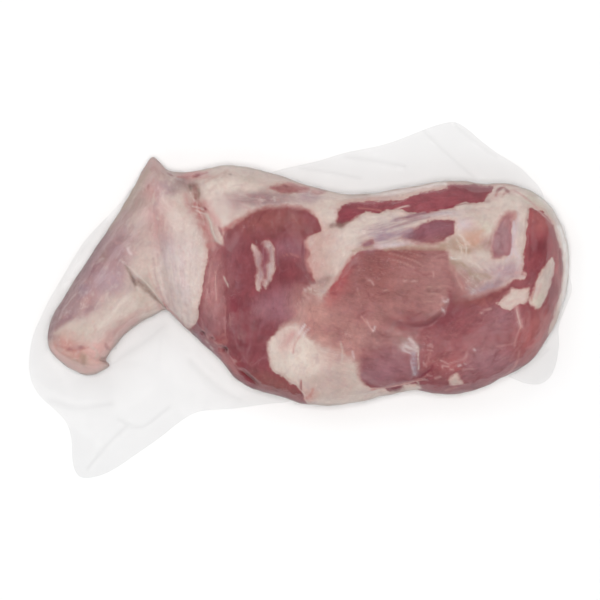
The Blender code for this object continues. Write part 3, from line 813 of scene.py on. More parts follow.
    (((563, 304), (557, 323), (550, 337)), 1.2, "cream_light", 0.5),
    # Painted highlight along the top rim and the upper right corner
    (((372, 195), (390, 194.5), (410, 191), (430, 187), (444, 184.5)), 2.4, "rim_highlight", 0.5),
    (((538, 199), (549, 209), (557, 221)), 3.2, "rim_highlight", 0.5),
    (((549, 263), (551, 272), (547, 281)), 1.0, "pink_fat", 0.6),
    (((538, 284), (535, 292), (533, 299)), 1.0, "pink_fat", 0.5),
    (((503, 304), (512, 300), (522, 299)), 1.2, "pink_fat", 0.4),
    (((528, 300), (531, 291), (532, 286)), 0.9, "string_red", 0.6),
    (((511, 223), (510, 238), (508.5, 254), (503, 261)), 1.2, "lavender_pale", 0.8),
)

# Low threads of fat and sinew that stand out of the surface: (points, half width, tissue)
THREADS = (
    (((208.2, 216), (211.4, 223.8), (214, 233.5), (217.5, 240.5)), 1.0, "cream"),
    (((193.5, 207.2), (199, 208.3), (204, 210.5)), 0.6, "pink_fat"),
    (((217, 275), (216.5, 284), (217.5, 294)), 0.5, "string_pink"),
    (((396, 210), (401, 208), (407, 206.5)), 0.8, "pink_fat"),
    (((513.5, 309), (515, 316), (518, 326)), 0.7, "pink_fat"),
    (((371, 389), (388, 386.5), (401, 384), (417, 380), (424, 379.5)), 0.6, "vein_pink"),
    (((138, 274), (144, 280), (154, 291), (165, 307)), 0.6, "cream"),
    (((448, 258), (453, 259.5), (458, 258.5)), 0.9, "cream"),
    (((454, 240), (458.5, 247.5), (459.5, 255)), 0.7, "bone_cream"),
)

# Grooves and creases: (points, half width in pixels, depth in metres)
GROOVES = (
    (((120, 262), (128, 268), (134, 278), (138, 288)), 2.0, 0.0011),
    (((138, 282), (146, 288), (153, 297), (165, 309)), 2.6, 0.0014),
    (((158, 255), (157, 270), (160, 285)), 1.8, 0.0005),
    (((188, 186), (200, 212), (209, 230), (214, 243)), 4.2, 0.0016),
    (((209, 250), (204, 275), (199, 300), (194, 325)), 2.4, 0.0011),
    (((400, 216), (412, 219), (425, 216), (440, 213), (455, 210)), 1.7, 0.0008),
    (((395, 224), (408, 222), (424, 219)), 1.5, 0.0006),
    (((402, 238), (412, 242), (430, 245), (446, 241)), 1.8, 0.0008),
    (
        ((395, 325), (415, 327), (430, 325), (440, 314), (450, 303), (470, 300), (500, 298)),
        3.4, 0.0014,
    ),
    (((415, 336), (419, 350), (418, 366), (413, 378)), 3.0, 0.0012),
    (((418, 378), (430, 368), (438, 358)), 2.4, 0.0008),
    (((360, 396), (380, 390), (400, 385), (425, 380)), 2.0, 0.0010),
    (((467, 263), (475, 274), (488, 282), (470, 290)), 2.2, 0.0008),
    (((487, 250), (489, 240), (494, 226), (500, 216)), 1.6, 0.0007),
    (((509, 256), (510, 240), (512, 222)), 1.6, 0.0007),
    (((521, 262), (522, 245), (524, 228), (527, 210)), 1.8, 0.0010),
    (((530, 300), (533, 290), (538, 280), (545, 268)), 1.5, 0.0007),
    (((511, 312), (516, 326), (512, 344)), 1.6, 0.0006),
    (((243, 370), (250, 377), (258, 383)), 3.0, 0.0010),
    (((222, 349), (224, 349.5), (226, 350)), 2.4, 0.0016),
    (((306, 240), (304, 255), (307, 268), (311, 280)), 1.8, 0.0009),
    (((352, 256), (343, 270), (333, 286), (322, 301)), 2.0, 0.0008),
    (((255, 244), (258, 262), (258, 288)), 1.4, 0.0005),
    (((275, 250), (277, 268), (272, 284)), 1.4, 0.0005),
    (((172, 174), (182, 178), (192, 186)), 2.4, 0.0010),
    (((103, 359), (108, 360)), 2.0, 0.0016),
)

# Creases of the loose flaps: (points, half width in pixels, height in metres)
FLAP_CREASES = (
    (((110, 365), (128, 353), (146, 341), (165, 325)), 3.0, 0.0016),
    (((60, 285), (74, 262), (90, 240), (106, 221)), 2.6, 0.0014),
    (((46, 330), (54, 308), (66, 288)), 2.4, 0.0010),
    (((425, 130), (440, 146), (458, 163), (475, 178)), 2.4, 0.0013),
    (((456, 124), (470, 136), (484, 147), (498, 157)), 2.0, 0.0012),
    (((345, 156), (375, 160), (405, 166)), 3.4, 0.0010),
    (((118, 420), (140, 428), (168, 408)), 3.4, 0.0012),
    (((50, 400), (78, 408), (112, 404)), 4.0, 0.0012),
    (((86, 470), (104, 448), (128, 424)), 3.2, 0.0014),
    (((190, 360), (214, 384), (240, 400)), 3.0, 0.0010),
    (((520, 372), (534, 362), (548, 350)), 2.4, 0.0010),
    (((300, 168), (330, 172), (360, 178)), 2.6, 0.0008),
)

# Soft borders of fat and lean: (middle, half length, half width, turn, border)
SOFT_BORDERS = (
    ((513, 217), 9, 8, 0, 3.2),
    ((332, 352), 36, 24, 0, 7.0),
    ((322, 312), 34, 18, 0, 6.0),
    ((305, 314), 16, 20, 0, 5.0),
    ((285, 324), 18, 9, 20, 3.6),
    ((268, 350), 8, 16, 0, 2.0),
    ((318, 294), 12, 8, 40, 3.0),
    ((290, 189), 24, 8, 0, 2.6),
    ((456, 276), 17, 24, 0, 8.0),
    ((476, 292), 32, 9, 8, 4.6),
    ((410, 250), 50, 6, 0, 2.2),
    ((508, 216), 14, 10, 0, 3.4),
    ((492, 240), 12, 26, 0, 2.6),
    ((275, 210), 50, 10, 0, 3.6),
    ((240, 222), 18, 14, 40, 2.8),
    ((216, 245), 14, 6, 0, 2.6),
    ((306, 262), 8, 30, 0, 2.0),
    ((367, 245), 12, 8, 0, 2.4),
    ((408, 234), 18, 14, 0, 3.4),
    ((430, 244), 26, 6, 0, 2.2),
    ((264, 264), 12, 26, 0, 2.8),
    ((318, 192), 16, 8, 0, 2.8),
    ((352, 222), 20, 7, 0, 2.4),
    ((359, 372), 10, 16, 0, 3.0),
    ((455, 379), 12, 10, 0, 1.9),
    ((545, 285), 20, 32, 0, 1.3),
)


def place(px):
    """Photo pixels to metres in plan."""
    px = np.asarray(px, float)
    return np.stack([px[..., 0] - CENTRE_PX[0], CENTRE_PX[1] - px[..., 1]], -1) * PX


def picture(plan):
    """Metres in plan to photo pixels."""
    return np.stack([plan[..., 0] / PX + CENTRE_PX[0], CENTRE_PX[1] - plan[..., 1] / PX], -1)


def spline(points, at, closed=False):
    """A smooth curve through the points; at counts them, so 2.5 is midway from point 2 to 3."""
    points = np.asarray(points, float)
    count = len(points)
    base = np.floor(at).astype(int)
    if not closed:
        base = np.clip(base, 0, count - 2)
    share = (at - base)[:, None]

    def near(offset):
        index = base + offset
        return points[index % count] if closed else points[np.clip(index, 0, count - 1)]

    before, start, end, after = near(-1), near(0), near(1), near(2)
    return 0.5 * (
        2 * start
        + (end - before) * share
        + (2 * before - 5 * start + 4 * end - after) * share**2
        + (3 * start - before - 3 * end + after) * share**3
    )


def smooth_closed(points, steps):
    """A closed curve through the points, with so many steps from one to the next."""
    return spline(points, np.arange(0, len(points), 1 / steps), closed=True)


def smooth_open(points, steps):
    """An open curve through the points, with so many steps from one to the next."""
    count = (len(points) - 1) * steps + 1
    return spline(points, np.linspace(0, len(points) - 1, count))


def smoothstep(value):
    value = np.clip(value, 0, 1)
    return value**2 * (3 - 2 * value)


# The meat's surface

def rails():
    """The meat's outer and inner edge in plan, each from the shank's end to the neck end."""
    outer = [SHANK_END_PX, *(pair[0] for pair in STATIONS_PX), NECK_END_PX]
    inner = [SHANK_END_PX, *(pair[1] for pair in STATIONS_PX), NECK_END_PX]
    return place(outer), place(inner)


def meat_outline_px():
    """The meat's outline in plan as a closed line of points, in pixels."""
    outer, inner = rails()
    at = np.linspace(0, len(outer) - 1, 6 * len(outer))
    return picture(np.concatenate([spline(outer, at), spline(inner, at)[-2:0:-1]]))


def even_stations(outer, inner, count):
    """Stations at even steps along the two edges."""
    fine = np.linspace(0, len(outer) - 1, 60 * len(outer))
    edges = [spline(edge, fine) for edge in (outer, inner)]
    step = sum(np.linalg.norm(np.diff(edge, axis=0), axis=1) for edge in edges)
    run = np.concatenate([[0], np.cumsum(step)])
    return np.interp(np.linspace(0, run[-1], count), run, fine)


def rounded(distance, radius):
    """A quarter round: 0 at the end and 1 from one radius on."""
    left = 1 - np.clip(distance / radius, 0, 1)
    return np.sqrt(1 - left**2)


def thickness_at(station, middle, shank_end, neck_end):
    """Thickness along the meat, which grows over the elbow and rounds off at the ends."""
    grown = smoothstep((station - ELBOW_STATION + 3) / 9)
    even = SHANK_THICKNESS + (BODY_THICKNESS - SHANK_THICKNESS) * grown
    ends = rounded(np.linalg.norm(middle - shank_end, axis=1), SHANK_END_ROUND)
    ends = ends * rounded(np.linalg.norm(middle - neck_end, axis=1), NECK_END_ROUND)
    return even * ends


def ellipse_distance(px, middle, half_length, half_width, turn):
    """How far out of an ellipse a point lies, squared, with 1 at the ellipse itself."""
    angle = math.radians(turn)
    off = (px - np.asarray(middle, float)) * (1, -1)
    x = (off[..., 0] * math.cos(angle) + off[..., 1] * math.sin(angle)) / half_length
    y = (off[..., 1] * math.cos(angle) - off[..., 0] * math.sin(angle)) / half_width
    return x**2 + y**2


def relief_at(plan):
    """Height of the muscle bellies over the plain loft, below 0 in the hollows."""
    px = picture(plan)
    rise = np.zeros(plan.shape[:-1])
    for middle, half_length, half_width, turn, height in RELIEF.values():
        rise += height * np.exp(-ellipse_distance(px, middle, half_length, half_width, turn))
    return rise


def fullness_at(station, cosine, sine):
    """How square a ring is, as the power of a superellipse; slimmer at the elbow's tip."""
    full = np.where(sine >= 0, TOP_FULLNESS, BASE_FULLNESS)[None]
    near = np.exp(-(((station - ELBOW_STATION) / ELBOW_TIP_SPREAD) ** 2))[:, None]
    outer = np.clip(cosine, 0, 1)[None] ** 0.5
    return full + (ELBOW_TIP_FULLNESS - full) * near * outer


def loft(rings, upper, lower, lift_off):
    """Rings of points round the meat, with the two end points, and the share of height."""
    outer, inner = rails()
    stations = even_stations(outer, inner, rings + 2)[1:-1]
    left, right = spline(outer, stations), spline(inner, stations)
    middle = (left + right) / 2
    thick = thickness_at(stations, middle, outer[0], outer[-1])[:, None]
    seam = thick * SEAM_SHARE
    over = np.linspace(0, math.pi, upper, endpoint=False)
    under = np.linspace(math.pi, 2 * math.pi, lower, endpoint=False)
    angle = np.concatenate([over, under])
    cosine, sine = np.cos(angle), np.sin(angle)
    sine[upper] = 0.0
    full = fullness_at(stations, cosine, sine)
    across = np.sign(cosine) * np.abs(cosine) ** (2 / full)
    lift = np.abs(sine) ** (2 / full)
    plan = middle[:, None] + (left - middle)[:, None] * across[..., None]
    top = seam + (thick - seam) * lift + relief_at(plan) * lift
    base = np.maximum(seam * (1 - BASE_REACH * lift), lift_off)
    upper_side = (sine >= 0)[None]
    height = np.where(upper_side, top, base)
    points = np.concatenate([plan, height[..., None]], -1)
    level = np.where(upper_side, lift, -lift)
    ends = np.array([[*outer[0], seam[0, 0]], [*outer[-1], seam[-1, 0]]])
    return points, ends, level


def ring_normals(points):
    """Outward normals of a surface given as closed rings."""
    around = np.roll(points, -1, axis=1) - np.roll(points, 1, axis=1)
    along = np.gradient(points, axis=0)
    normal = np.cross(along, around)
    length = np.linalg.norm(normal, axis=-1, keepdims=True)
    normal = normal / np.maximum(length, 1e-12)
    middle = points.mean(axis=1, keepdims=True)
    out = np.sign(((points - middle) * normal).sum(-1).mean())
    return normal * out


def ring_faces(rings, count):
    """Faces between closed rings of points, and a fan to the point at each end."""
    i, j = np.meshgrid(np.arange(rings - 1), np.arange(count), indexing="ij")
    k = (j + 1) % count
    quads = np.stack([i * count + j, (i + 1) * count + j, (i + 1) * count + k, i * count + k], -1)
    faces = quads.reshape(-1, 4).tolist()
    first, last = rings * count, rings * count + 1
    base = (rings - 1) * count
    for j in range(count):
        k = (j + 1) % count
        faces.append([first, j, k])
        faces.append([last, base + k, base + j])
    return faces


def with_ends(value, rings, count):
    """Values on rings of points, and the mean of the first and the last ring at the ends."""
    value = np.asarray(value, float).reshape(rings, count, -1)
    return np.concatenate([value.reshape(rings * count, -1), value[[0, -1]].mean(axis=1)])


def with_alpha(colour):
    return np.concatenate([colour, np.ones((len(colour), 1))], axis=1)


def link(name, data):
    """A new object with the data, in the scene."""
    obj = bpy.data.objects.new(name, data)
    bpy.context.scene.collection.objects.link(obj)
    return obj


def store(mesh, key, value):
    """Keeps a number, a vector or a colour at each point of the mesh."""
    value = np.asarray(value, np.float32).reshape(len(mesh.vertices), -1)
    kinds = {1: ("FLOAT", "value"), 3: ("FLOAT_VECTOR", "vector"), 4: ("FLOAT_COLOR", "color")}
    kind, field = kinds[value.shape[1]]
    mesh.attributes.new(key, kind, "POINT").data.foreach_set(field, value.ravel())


def make_piece(name, verts, faces, values):
    """A smooth piece of the model, with values kept at its points."""
    mesh = bpy.data.meshes.new(name)
    mesh.from_pydata(verts, [], faces)
    for key, value in values.items():
        store(mesh, key, value)
    mesh.shade_smooth()
    return link(name, mesh)


# Fields over the plan, in pixels of the picture

def segment_distance(px, start, end):
    run = end - start
    share = np.clip((px - start) @ run / max(run @ run, 1e-12), 0, 1)
    return np.linalg.norm(px - start - share[:, None] * run, axis=1)


def line_distance(px, line):
    nearest = np.full(len(px), np.inf)
    for start, end in zip(line, line[1:]):
        nearest = np.minimum(nearest, segment_distance(px, start, end))
    return nearest


def curve_distance(px, points_px, half_width):
    """Distance to a smooth curve through the points, in half widths."""
    return line_distance(px, smooth_open(points_px, CURVE_STEPS)) / half_width


def points_near(px, line, margin):
    """Numbers of the points in the line's box, which is larger by the margin."""
    low, high = line.min(0) - margin, line.max(0) + margin
    return np.where(((px > low) & (px < high)).all(axis=1))[0]


def line_depth(px, line, reach):
    """Signed distance to a closed line, positive inside, at most reach each way."""
    nearest = np.full(len(px), np.inf)
    inside = np.zeros(len(px), bool)
    for start, end in zip(line, np.roll(line, -1, axis=0)):
        nearest = np.minimum(nearest, segment_distance(px, start, end))
        if start[1] != end[1]:
            spans = (start[1] > px[:, 1]) != (end[1] > px[:, 1])
            rise = (px[:, 1] - start[1]) / (end[1] - start[1])
            inside ^= spans & (px[:, 0] < start[0] + rise * (end[0] - start[0]))
    return np.clip(np.where(inside, nearest, -nearest), -reach, reach)


def depth_inside(px, outline, reach):
    """Signed distance to a smooth closed curve through the outline's points."""
    line = smooth_closed(outline, OUTLINE_STEPS)
    near = points_near(px, line, reach)
    result = np.full(len(px), -reach, float)
    result[near] = line_depth(px[near], line, reach)
    return result


def fat_field(px):
    """Signed distance to the border of fat and lean, in pixels, positive in the fat."""
    lean = np.full(len(px), -FIELD_REACH)
    for outline in LEAN_OUTLINES.values():
        lean = np.maximum(lean, depth_inside(px, outline, FIELD_REACH))
    fat = -lean
    for outline in FAT_OUTLINES.values():
        fat = np.maximum(fat, depth_inside(px, outline, FIELD_REACH))
    return fat


def lumps(points, size, seed):
    """Smooth seeded noise from -1 to 1, with lumps of the given size in metres."""
    lattice = np.random.default_rng(seed).uniform(-1, 1, (32, 32, 32))
    at = points / size + 1000.0
    base = np.floor(at).astype(int)
    share = at - base
    share = share**2 * (3 - 2 * share)
    total = np.zeros(len(points))
    for corner in range(8):
        bits = np.array([corner & 1, corner >> 1 & 1, corner >> 2 & 1])
        weight = np.where(bits, share, 1 - share).prod(axis=1)
        index = (base + bits) % 32
        total += weight * lattice[index[:, 0], index[:, 1], index[:, 2]]
    return total


def raised(points, height, size, seed):
    """Lumps up to the given height."""
    return height * lumps(points, size, seed)


def warped(px, steps):
    """Plan pixels pushed about by seeded lumps: each step is (size, reach, seed)."""
    for size, reach, seed in steps:
        spots = np.column_stack([px * PX, np.zeros(len(px))])
        shift = [lumps(spots, size * PX, seed + axis) for axis in (0, 1)]
        px = px + reach * np.stack(shift, -1)
    return px


def linear(rgb):
    """sRGB from 0 to 255 to linear light."""
    share = np.asarray(rgb, float) / 255
    return np.where(share <= 0.04045, share / 12.92, ((share + 0.055) / 1.055) ** 2.4)


def tissue_colour(tissue):
    """The tissue's own colour: what is seen, less the glare of the film."""
    return np.clip(linear(TISSUE[tissue]) - FILM_GLARE, 0.004, 0.95)


def tint_field(px, base, tints):
    """A smoothly painted colour: each tint fades out at the edge of its ellipse."""
    colour = np.tile(tissue_colour(base), (len(px), 1))
    for middle, half_length, half_width, turn, tissue, share in tints:
        far = ellipse_distance(px, middle, half_length, half_width, turn)
        weight = (share * np.exp(-(far**1.25)))[:, None]
        colour = colour * (1 - weight) + tissue_colour(tissue) * weight
    return colour


def silverskin_fold_light_shade():
    """Fine lengthwise folds of the silverskin from the elbow down, as painted highlight and
    painted shade in turn.
    """
    at = np.linspace(0, 3, SILVERSKIN_LINES)
    starts = spline([(158, 254), (168, 250), (180, 252), (192, 256)], at)
    ends = spline([(171, 306), (180, 318), (188, 326), (195, 322)], at)
    fan = []
    for index, (start, end) in enumerate(zip(starts, ends)):
        bend = (start + end) / 2 + (2.2 * math.sin(index * 2.1), 0)
        # Pale lines are painted highlights of the folds, the mauve lines painted shade
        tissue, share = ("cream_light", 0.40) if index % 2 else ("mauve_pink", 0.15)
        fan.append(((start, bend, end), 1.0, tissue, share))
    return fan


def stroke_field(px):
    """Brush strokes laid over each other: their colour, and how far they cover the tissue."""
    paint = np.zeros((len(px), 3))
    cover = np.zeros(len(px))
    for points_px, half_width, tissue, share in (*STROKES, *silverskin_fold_light_shade()):
        line = smooth_open(points_px, STROKE_STEPS)
        near = points_near(px, line, 3 * half_width)
        weight = share * np.exp(-((line_distance(px[near], line) / half_width) ** 2))
        mix = weight[:, None]
        paint[near] = paint[near] * (1 - mix) + tissue_colour(tissue) * mix
        cover[near] = cover[near] * (1 - weight) + weight
    return paint / np.maximum(cover, 1e-6)[:, None], cover


def mark_field(px, marks):
    """The strongest of the marks at each point, from 0 to 1."""
    strongest = np.zeros(len(px))
    for middle, half_length, half_width, turn, share in marks:
        far = ellipse_distance(px, middle, half_length, half_width, turn)
        strongest = np.maximum(strongest, share * np.exp(-(far**1.5)))
    return strongest


def border_width(px):
    """Half width of the border between fat and lean, in pixels."""
    width = np.full(len(px), CRISP_BORDER)
    for middle, half_length, half_width, turn, soft in SOFT_BORDERS:
        far = ellipse_distance(px, middle, half_length, half_width, turn)
        width = width + (soft - CRISP_BORDER) * np.exp(-(far**2))
    return width


def grain_field(px, height):
    """Coordinates that run along the muscle fibres, in metres."""
    turn = np.zeros(len(px))
    closest = np.full(len(px), np.inf)
    for middle, half_length, half_width, patch_turn, fibre_turn in FIBRES:
        far = ellipse_distance(px, middle, half_length, half_width, patch_turn)
        turn = np.where(far < closest, math.radians(fibre_turn), turn)
        closest = np.minimum(far, closest)
    plan = place(px)
    along = plan[:, 0] * np.cos(turn) + plan[:, 1] * np.sin(turn)
    across = plan[:, 1] * np.cos(turn) - plan[:, 0] * np.sin(turn)
    return np.stack([along, across, height], -1)


def rim_shade_field(px, level):
    """Painted shade at the rim: 1 at the meat's widest line, fading out over a few pixels above
    and further below.
    """
    inside = line_depth(px, meat_outline_px(), RIM_REACH_PX)
    above = np.clip(1 - inside / RIM_REACH_PX, 0, 1) * (0.4 + 0.6 * smoothstep(level / 0.35))
    below = 0.4 * (1 - smoothstep(-level / 0.4))
    fade_from, fade_to = RIM_FADE_PX
    bright_side = smoothstep((px[:, 0] - fade_from) / (fade_to - fade_from))
    return np.where(level > 0, above, below) * (1 - 0.8 * bright_side)


# The meat

def surface_detail(points, px, fat, width, grain, level):
    """How far the surface stands out of the plain loft, in metres."""
    upper = smoothstep(level * 2.4)
    rise = PATCH_RISE * smoothstep(fat / 7 + 0.5)
    rise -= BORDER_DIP * np.exp(-((fat / 1.7) ** 2)) * (CRISP_BORDER / width)
    for points_px, half_width, depth in GROOVES:
        rise -= depth * np.exp(-(curve_distance(px, points_px, half_width) ** 2))
    rise -= HOLE_DEPTH * mark_field(px, DARK_SHADE_MARKS[:HOLE_COUNT])
    rise *= upper
    lean = smoothstep(-fat / 2 + 0.5)
    rise += raised(grain / (6.0, 1.0, 1.0), *FIBRE_LUMPS) * lean * upper
    for row in MEAT_LUMPS:
        rise += raised(points, *row)
    rise += raised(points, *FINE_LUMPS) * (1 - lean * 0.5)
    side = 1 - smoothstep(np.abs(level) * 1.4)
    rise += raised(points, *SIDE_LUMPS) * side
    return rise


def detailed_loft(rings, upper, lower):
    """The plain loft with its fields over the plan and its surface detail."""
    points, ends, level = loft(rings, upper, lower, MEAT_OFF_TABLE)
    flat = points.reshape(-1, 3)
    level = level.ravel()
    px = picture(flat[:, :2])
    width = border_width(px)
    fat = fat_field(px + (warped(px, OUTLINE_WARP) - px) * (CRISP_BORDER / width)[:, None])
    grain = grain_field(px, flat[:, 2])
    detail = surface_detail(flat, px, fat, width, grain, level)
    fields = {"px": px, "fat": fat, "width": width, "grain": grain, "level": level}
    return points, ends, fields, detail.reshape(points.shape[:2])


def stay_up(points, lowest):
    points[..., 2] = np.maximum(points[..., 2], lowest)
    return points


def make_meat():
    """The meat, with all that its material needs kept at its points."""
    points, ends, fields, detail = detailed_loft(MEAT_RINGS, MEAT_UPPER_POINTS, MEAT_LOWER_POINTS)
    points = stay_up(points + ring_normals(points) * detail[..., None], MEAT_OFF_TABLE)
    px, level = fields["px"], fields["level"]
    cover = smoothstep((0.10 - level) / 0.3)[:, None]
    cover_edge = np.clip(-level * 30 - 3.0, -FIELD_REACH, FIELD_REACH)
    paint, paint_cover = stroke_field(px)
    painted = warped(px, TINT_WARP)
    fat_tint = tint_field(painted, "cream", FAT_TINTS)
    fat_tint = fat_tint * (1 - cover) + tissue_colour("cover_fat") * cover
    values = {
        "fat": np.maximum(fields["fat"], cover_edge),
        "border": fields["width"],
        "grain": fields["grain"],
        "lean_tint": with_alpha(tint_field(painted, "dark_lean", LEAN_TINTS)),
        "fat_tint": with_alpha(fat_tint),
        # Painted shade in the holes and creases
        "dark": mark_field(px, DARK_SHADE_MARKS) * (level > 0),
        "blood": mark_field(px, BLOOD_MARKS) * (level > 0),
        "paint": with_alpha(paint),
        "paint_cover": paint_cover * smoothstep(0.6 + 1.6 * level),
        "streaked": mark_field(painted, STREAKED),
        "marbled": mark_field(painted, MARBLED) * (level > 0),
        # Painted shade at the rim
        "rim": rim_shade_field(px, level),
    }
    rings, count = points.shape[:2]
    values = {key: with_ends(value, rings, count) for key, value in values.items()}
    verts = np.concatenate([points.reshape(-1, 3), ends])
    return make_piece("lamb_shoulder", verts.tolist(), ring_faces(rings, count), values)


# Threads of fat and sinew

def surface_sampler(meat):
    """Spot and normal of the meat's upper side under a point in plan."""
    tree = BVHTree.FromPolygons(
        [v.co for v in meat.data.vertices], [p.vertices[:] for p in meat.data.polygons]
    )

    def sample(x, y):
        hit, normal, _, _ = tree.ray_cast(Vector((x, y, 0.2)), Vector((0, 0, -1)))
        return hit, normal

    return sample


def thread_ring(hit, normal, side, wide):
    """A flat ring of points round a spot of a thread, sunk a little into the surface."""
    ring = []
    for step in range(THREAD_SIDES):
        angle = 2 * math.pi * step / THREAD_SIDES
        up = THREAD_FLATNESS * wide * math.sin(angle) - THREAD_SINK
        ring.append(hit + side * (wide * math.cos(angle)) + normal * up)
    return ring


def make_threads(meat):
    """Low rounded threads, tapered at both ends and sunk into the surface."""
    sample = surface_sampler(meat)
    verts, faces, tints = [], [], []
    for points_px, half_width, tissue in THREADS:
        plan = place(smooth_open(points_px, THREAD_STEPS))
        last = len(plan) - 1
        rings = []
        for index, (x, y) in enumerate(plan):
            hit, normal = sample(x, y)
            if hit is None:
                continue
            ahead = plan[min(index + 1, last)] - plan[max(index - 1, 0)]
            along = Vector((ahead[0], ahead[1], 0)).normalized()
            side = normal.cross(along).normalized()
            taper = max(math.sin(math.pi * (index / last)), 0.0) ** 0.6
            wide = half_width * PX * taper * (1 + 0.25 * math.sin(index * 1.9)) + THREAD_TIP
            rings.append(tuple(range(len(verts), len(verts) + THREAD_SIDES)))
            verts += thread_ring(hit, normal, side, wide)
        for near, far in zip(rings, rings[1:]):
            for i in range(THREAD_SIDES):
                j = (i + 1) % THREAD_SIDES
                faces.append((near[i], near[j], far[j], far[i]))
        faces += [rings[0][::-1], rings[-1]]
        tints += [tissue_colour(tissue)] * (len(rings) * THREAD_SIDES)
    return make_piece("sinew_threads", verts, faces, {"tint": with_alpha(np.array(tints))})


# The bag

def blurred(field, steps):
    """A field on rings, evened out over its neighbours."""
    for _ in range(steps):
        field = (np.roll(field, 1, axis=1) + field * 2 + np.roll(field, -1, axis=1)) / 4
        padded = np.pad(field, ((1, 1), (0, 0)), mode="edge")
        field = (padded[:-2] + padded[1:-1] * 2 + padded[2:]) / 4
    return field


def skin_wrinkles(points, level):
    """Small folds of the film, which run up the sides from the flaps and fade on top."""
    rng = np.random.default_rng(21)
    rings, count = points.shape[:2]
    ring_step = np.linalg.norm(np.diff(points.mean(axis=1), axis=0), axis=1)
    run = np.concatenate([[0], np.cumsum(ring_step)])[:, None]
    angle = np.linspace(0, 2 * math.pi, count, endpoint=False)
    outer = smoothstep(np.cos(angle) * 1.5 + 0.5)
    rise = np.zeros((rings, count))
    for _ in range(SKIN_FOLDS):
        start = rng.uniform(0.0, run.max())
        slope = rng.uniform(-0.020, 0.020)
        wide = rng.uniform(0.0011, 0.0020)
        high = rng.uniform(0.00025, 0.0009)
        reach = rng.uniform(0.35, 0.95)
        side = outer if rng.uniform() < 0.5 else 1 - outer
        off = run - start - slope * level
        fold = np.exp(-((off / wide) ** 2)) * smoothstep((reach - np.abs(level)) / 0.5)
        rise += high * fold * side
    return rise


def skin_surface():
    """The film over the meat: it follows the detail and bridges the narrow hollows."""
    points, ends, fields, detail = detailed_loft(SKIN_RINGS, SKIN_UPPER_POINTS, SKIN_LOWER_POINTS)
    level = fields["level"].reshape(points.shape[:2])
    bridged = np.maximum(detail, blurred(detail, 6)) * 0.65 + detail * 0.35
    off = bridged + FILM_GAP + skin_wrinkles(points, level)
    points = stay_up(points + ring_normals(points) * off[..., None], FILM_OFF_TABLE)
    grow = np.array([[-FILM_GAP * 1.5, 0, 0], [FILM_GAP * 1.5, 0, 0]])
    return points, ends + grow


def clipped_grid(spots, keep):
    """Points and faces of a grid that is cut where keep turns negative."""
    rows, columns = keep.shape
    index = np.full((rows, columns), -1)
    kept = keep >= 0
    index[kept] = np.arange(kept.sum())
    verts = [tuple(p) for p in spots[kept]]
    cuts = {}

    def crossing(a, b):
        key = (a, b) if a < b else (b, a)
        if key not in cuts:
            share = keep[a] / (keep[a] - keep[b])
            cuts[key] = len(verts)
            verts.append(tuple(spots[a] + (spots[b] - spots[a]) * share))
        return cuts[key]

    faces = []
    for i in range(rows - 1):
        for j in range(columns - 1):
            corners = [(i, j), (i + 1, j), (i + 1, j + 1), (i, j + 1)]
            face = []
            for a, b in zip(corners, corners[1:] + corners[:1]):
                if kept[a]:
                    face.append(int(index[a]))
                if kept[a] != kept[b]:
                    face.append(crossing(a, b))
            if len(face) > 2:
                faces.append(face)
    return np.array(verts), faces


def flap_plan():
    """The flaps in plan, cut to the bag's outline and tucked in under the meat's edge."""
    low, high = CAD_BOX
    xs, ys = (np.arange(low[k] - FLAP_CELL, high[k] + 2 * FLAP_CELL, FLAP_CELL) for k in (0, 1))
    grid = np.stack(np.meshgrid(xs, ys, indexing="ij"), -1)
    px = picture(grid.reshape(-1, 2))
    in_bag = depth_inside(px, BAG_OUTLINE_PX, BAG_REACH_PX)
    in_meat = line_depth(px, meat_outline_px(), MEAT_REACH_PX)
    keep = np.minimum(in_bag, FLAP_TUCK_PX - in_meat).reshape(grid.shape[:2])
    return clipped_grid(grid, keep)


def flap_height(px, outside):
    """Height of a flap: it leaves the meat's side and comes down to the table."""
    plan = place(px)
    turn = plan * 2 * math.pi / FLAP_WAVE_LENGTH
    wave = np.sin(turn[:, 0]) * np.cos(turn[:, 1])
    settled = FLAP_LOWEST + FLAP_WAVE * (1 + wave)
    away = np.clip(outside, 0, None) * PX
    drop = np.exp(-((away / FLAP_DROOP) ** 1.5))
    height = settled + (FLAP_ROOT - settled) * drop
    for points_px, half_width, rise in FLAP_CREASES:
        height += rise * np.exp(-curve_distance(px, points_px, half_width) ** 1.3)
    spots = np.column_stack([plan, np.zeros(len(plan))])
    for row in FLAP_LUMPS:
        height += raised(spots, *row)
    return np.maximum(height, FLAP_FLOOR)


def make_bag():
    """The skin over the meat and the loose flaps, as one piece."""
    skin, ends = skin_surface()
    rings, count = skin.shape[:2]
    skin_count = rings * count + len(ends)
    flat, flap_faces = flap_plan()
    px = picture(flat)
    outside = -line_depth(px, meat_outline_px(), MEAT_REACH_PX)
    edge = depth_inside(px, BAG_OUTLINE_PX, BAG_REACH_PX) * PX
    crease = np.zeros(len(px))
    for points_px, half_width, _ in FLAP_CREASES:
        near = curve_distance(px, points_px, half_width)
        crease = np.maximum(crease, np.exp(-(near**2) * 2.5))
    flaps = np.column_stack([flat, flap_height(px, outside)])
    verts = np.concatenate([skin.reshape(-1, 3), ends, flaps])
    faces = ring_faces(rings, count)
    faces += [[v + skin_count for v in face] for face in flap_faces]
    values = {
        "edge": np.concatenate([np.full(skin_count, SKIN_FROM_EDGE), edge]),
        "flap": np.concatenate([np.zeros(skin_count), smoothstep(outside / FLAP_CLEAR_PX)]),
        "crease": np.concatenate([np.zeros(skin_count), crease]),
    }
    return make_piece("clear_bag", verts.tolist(), faces, values)


# Materials

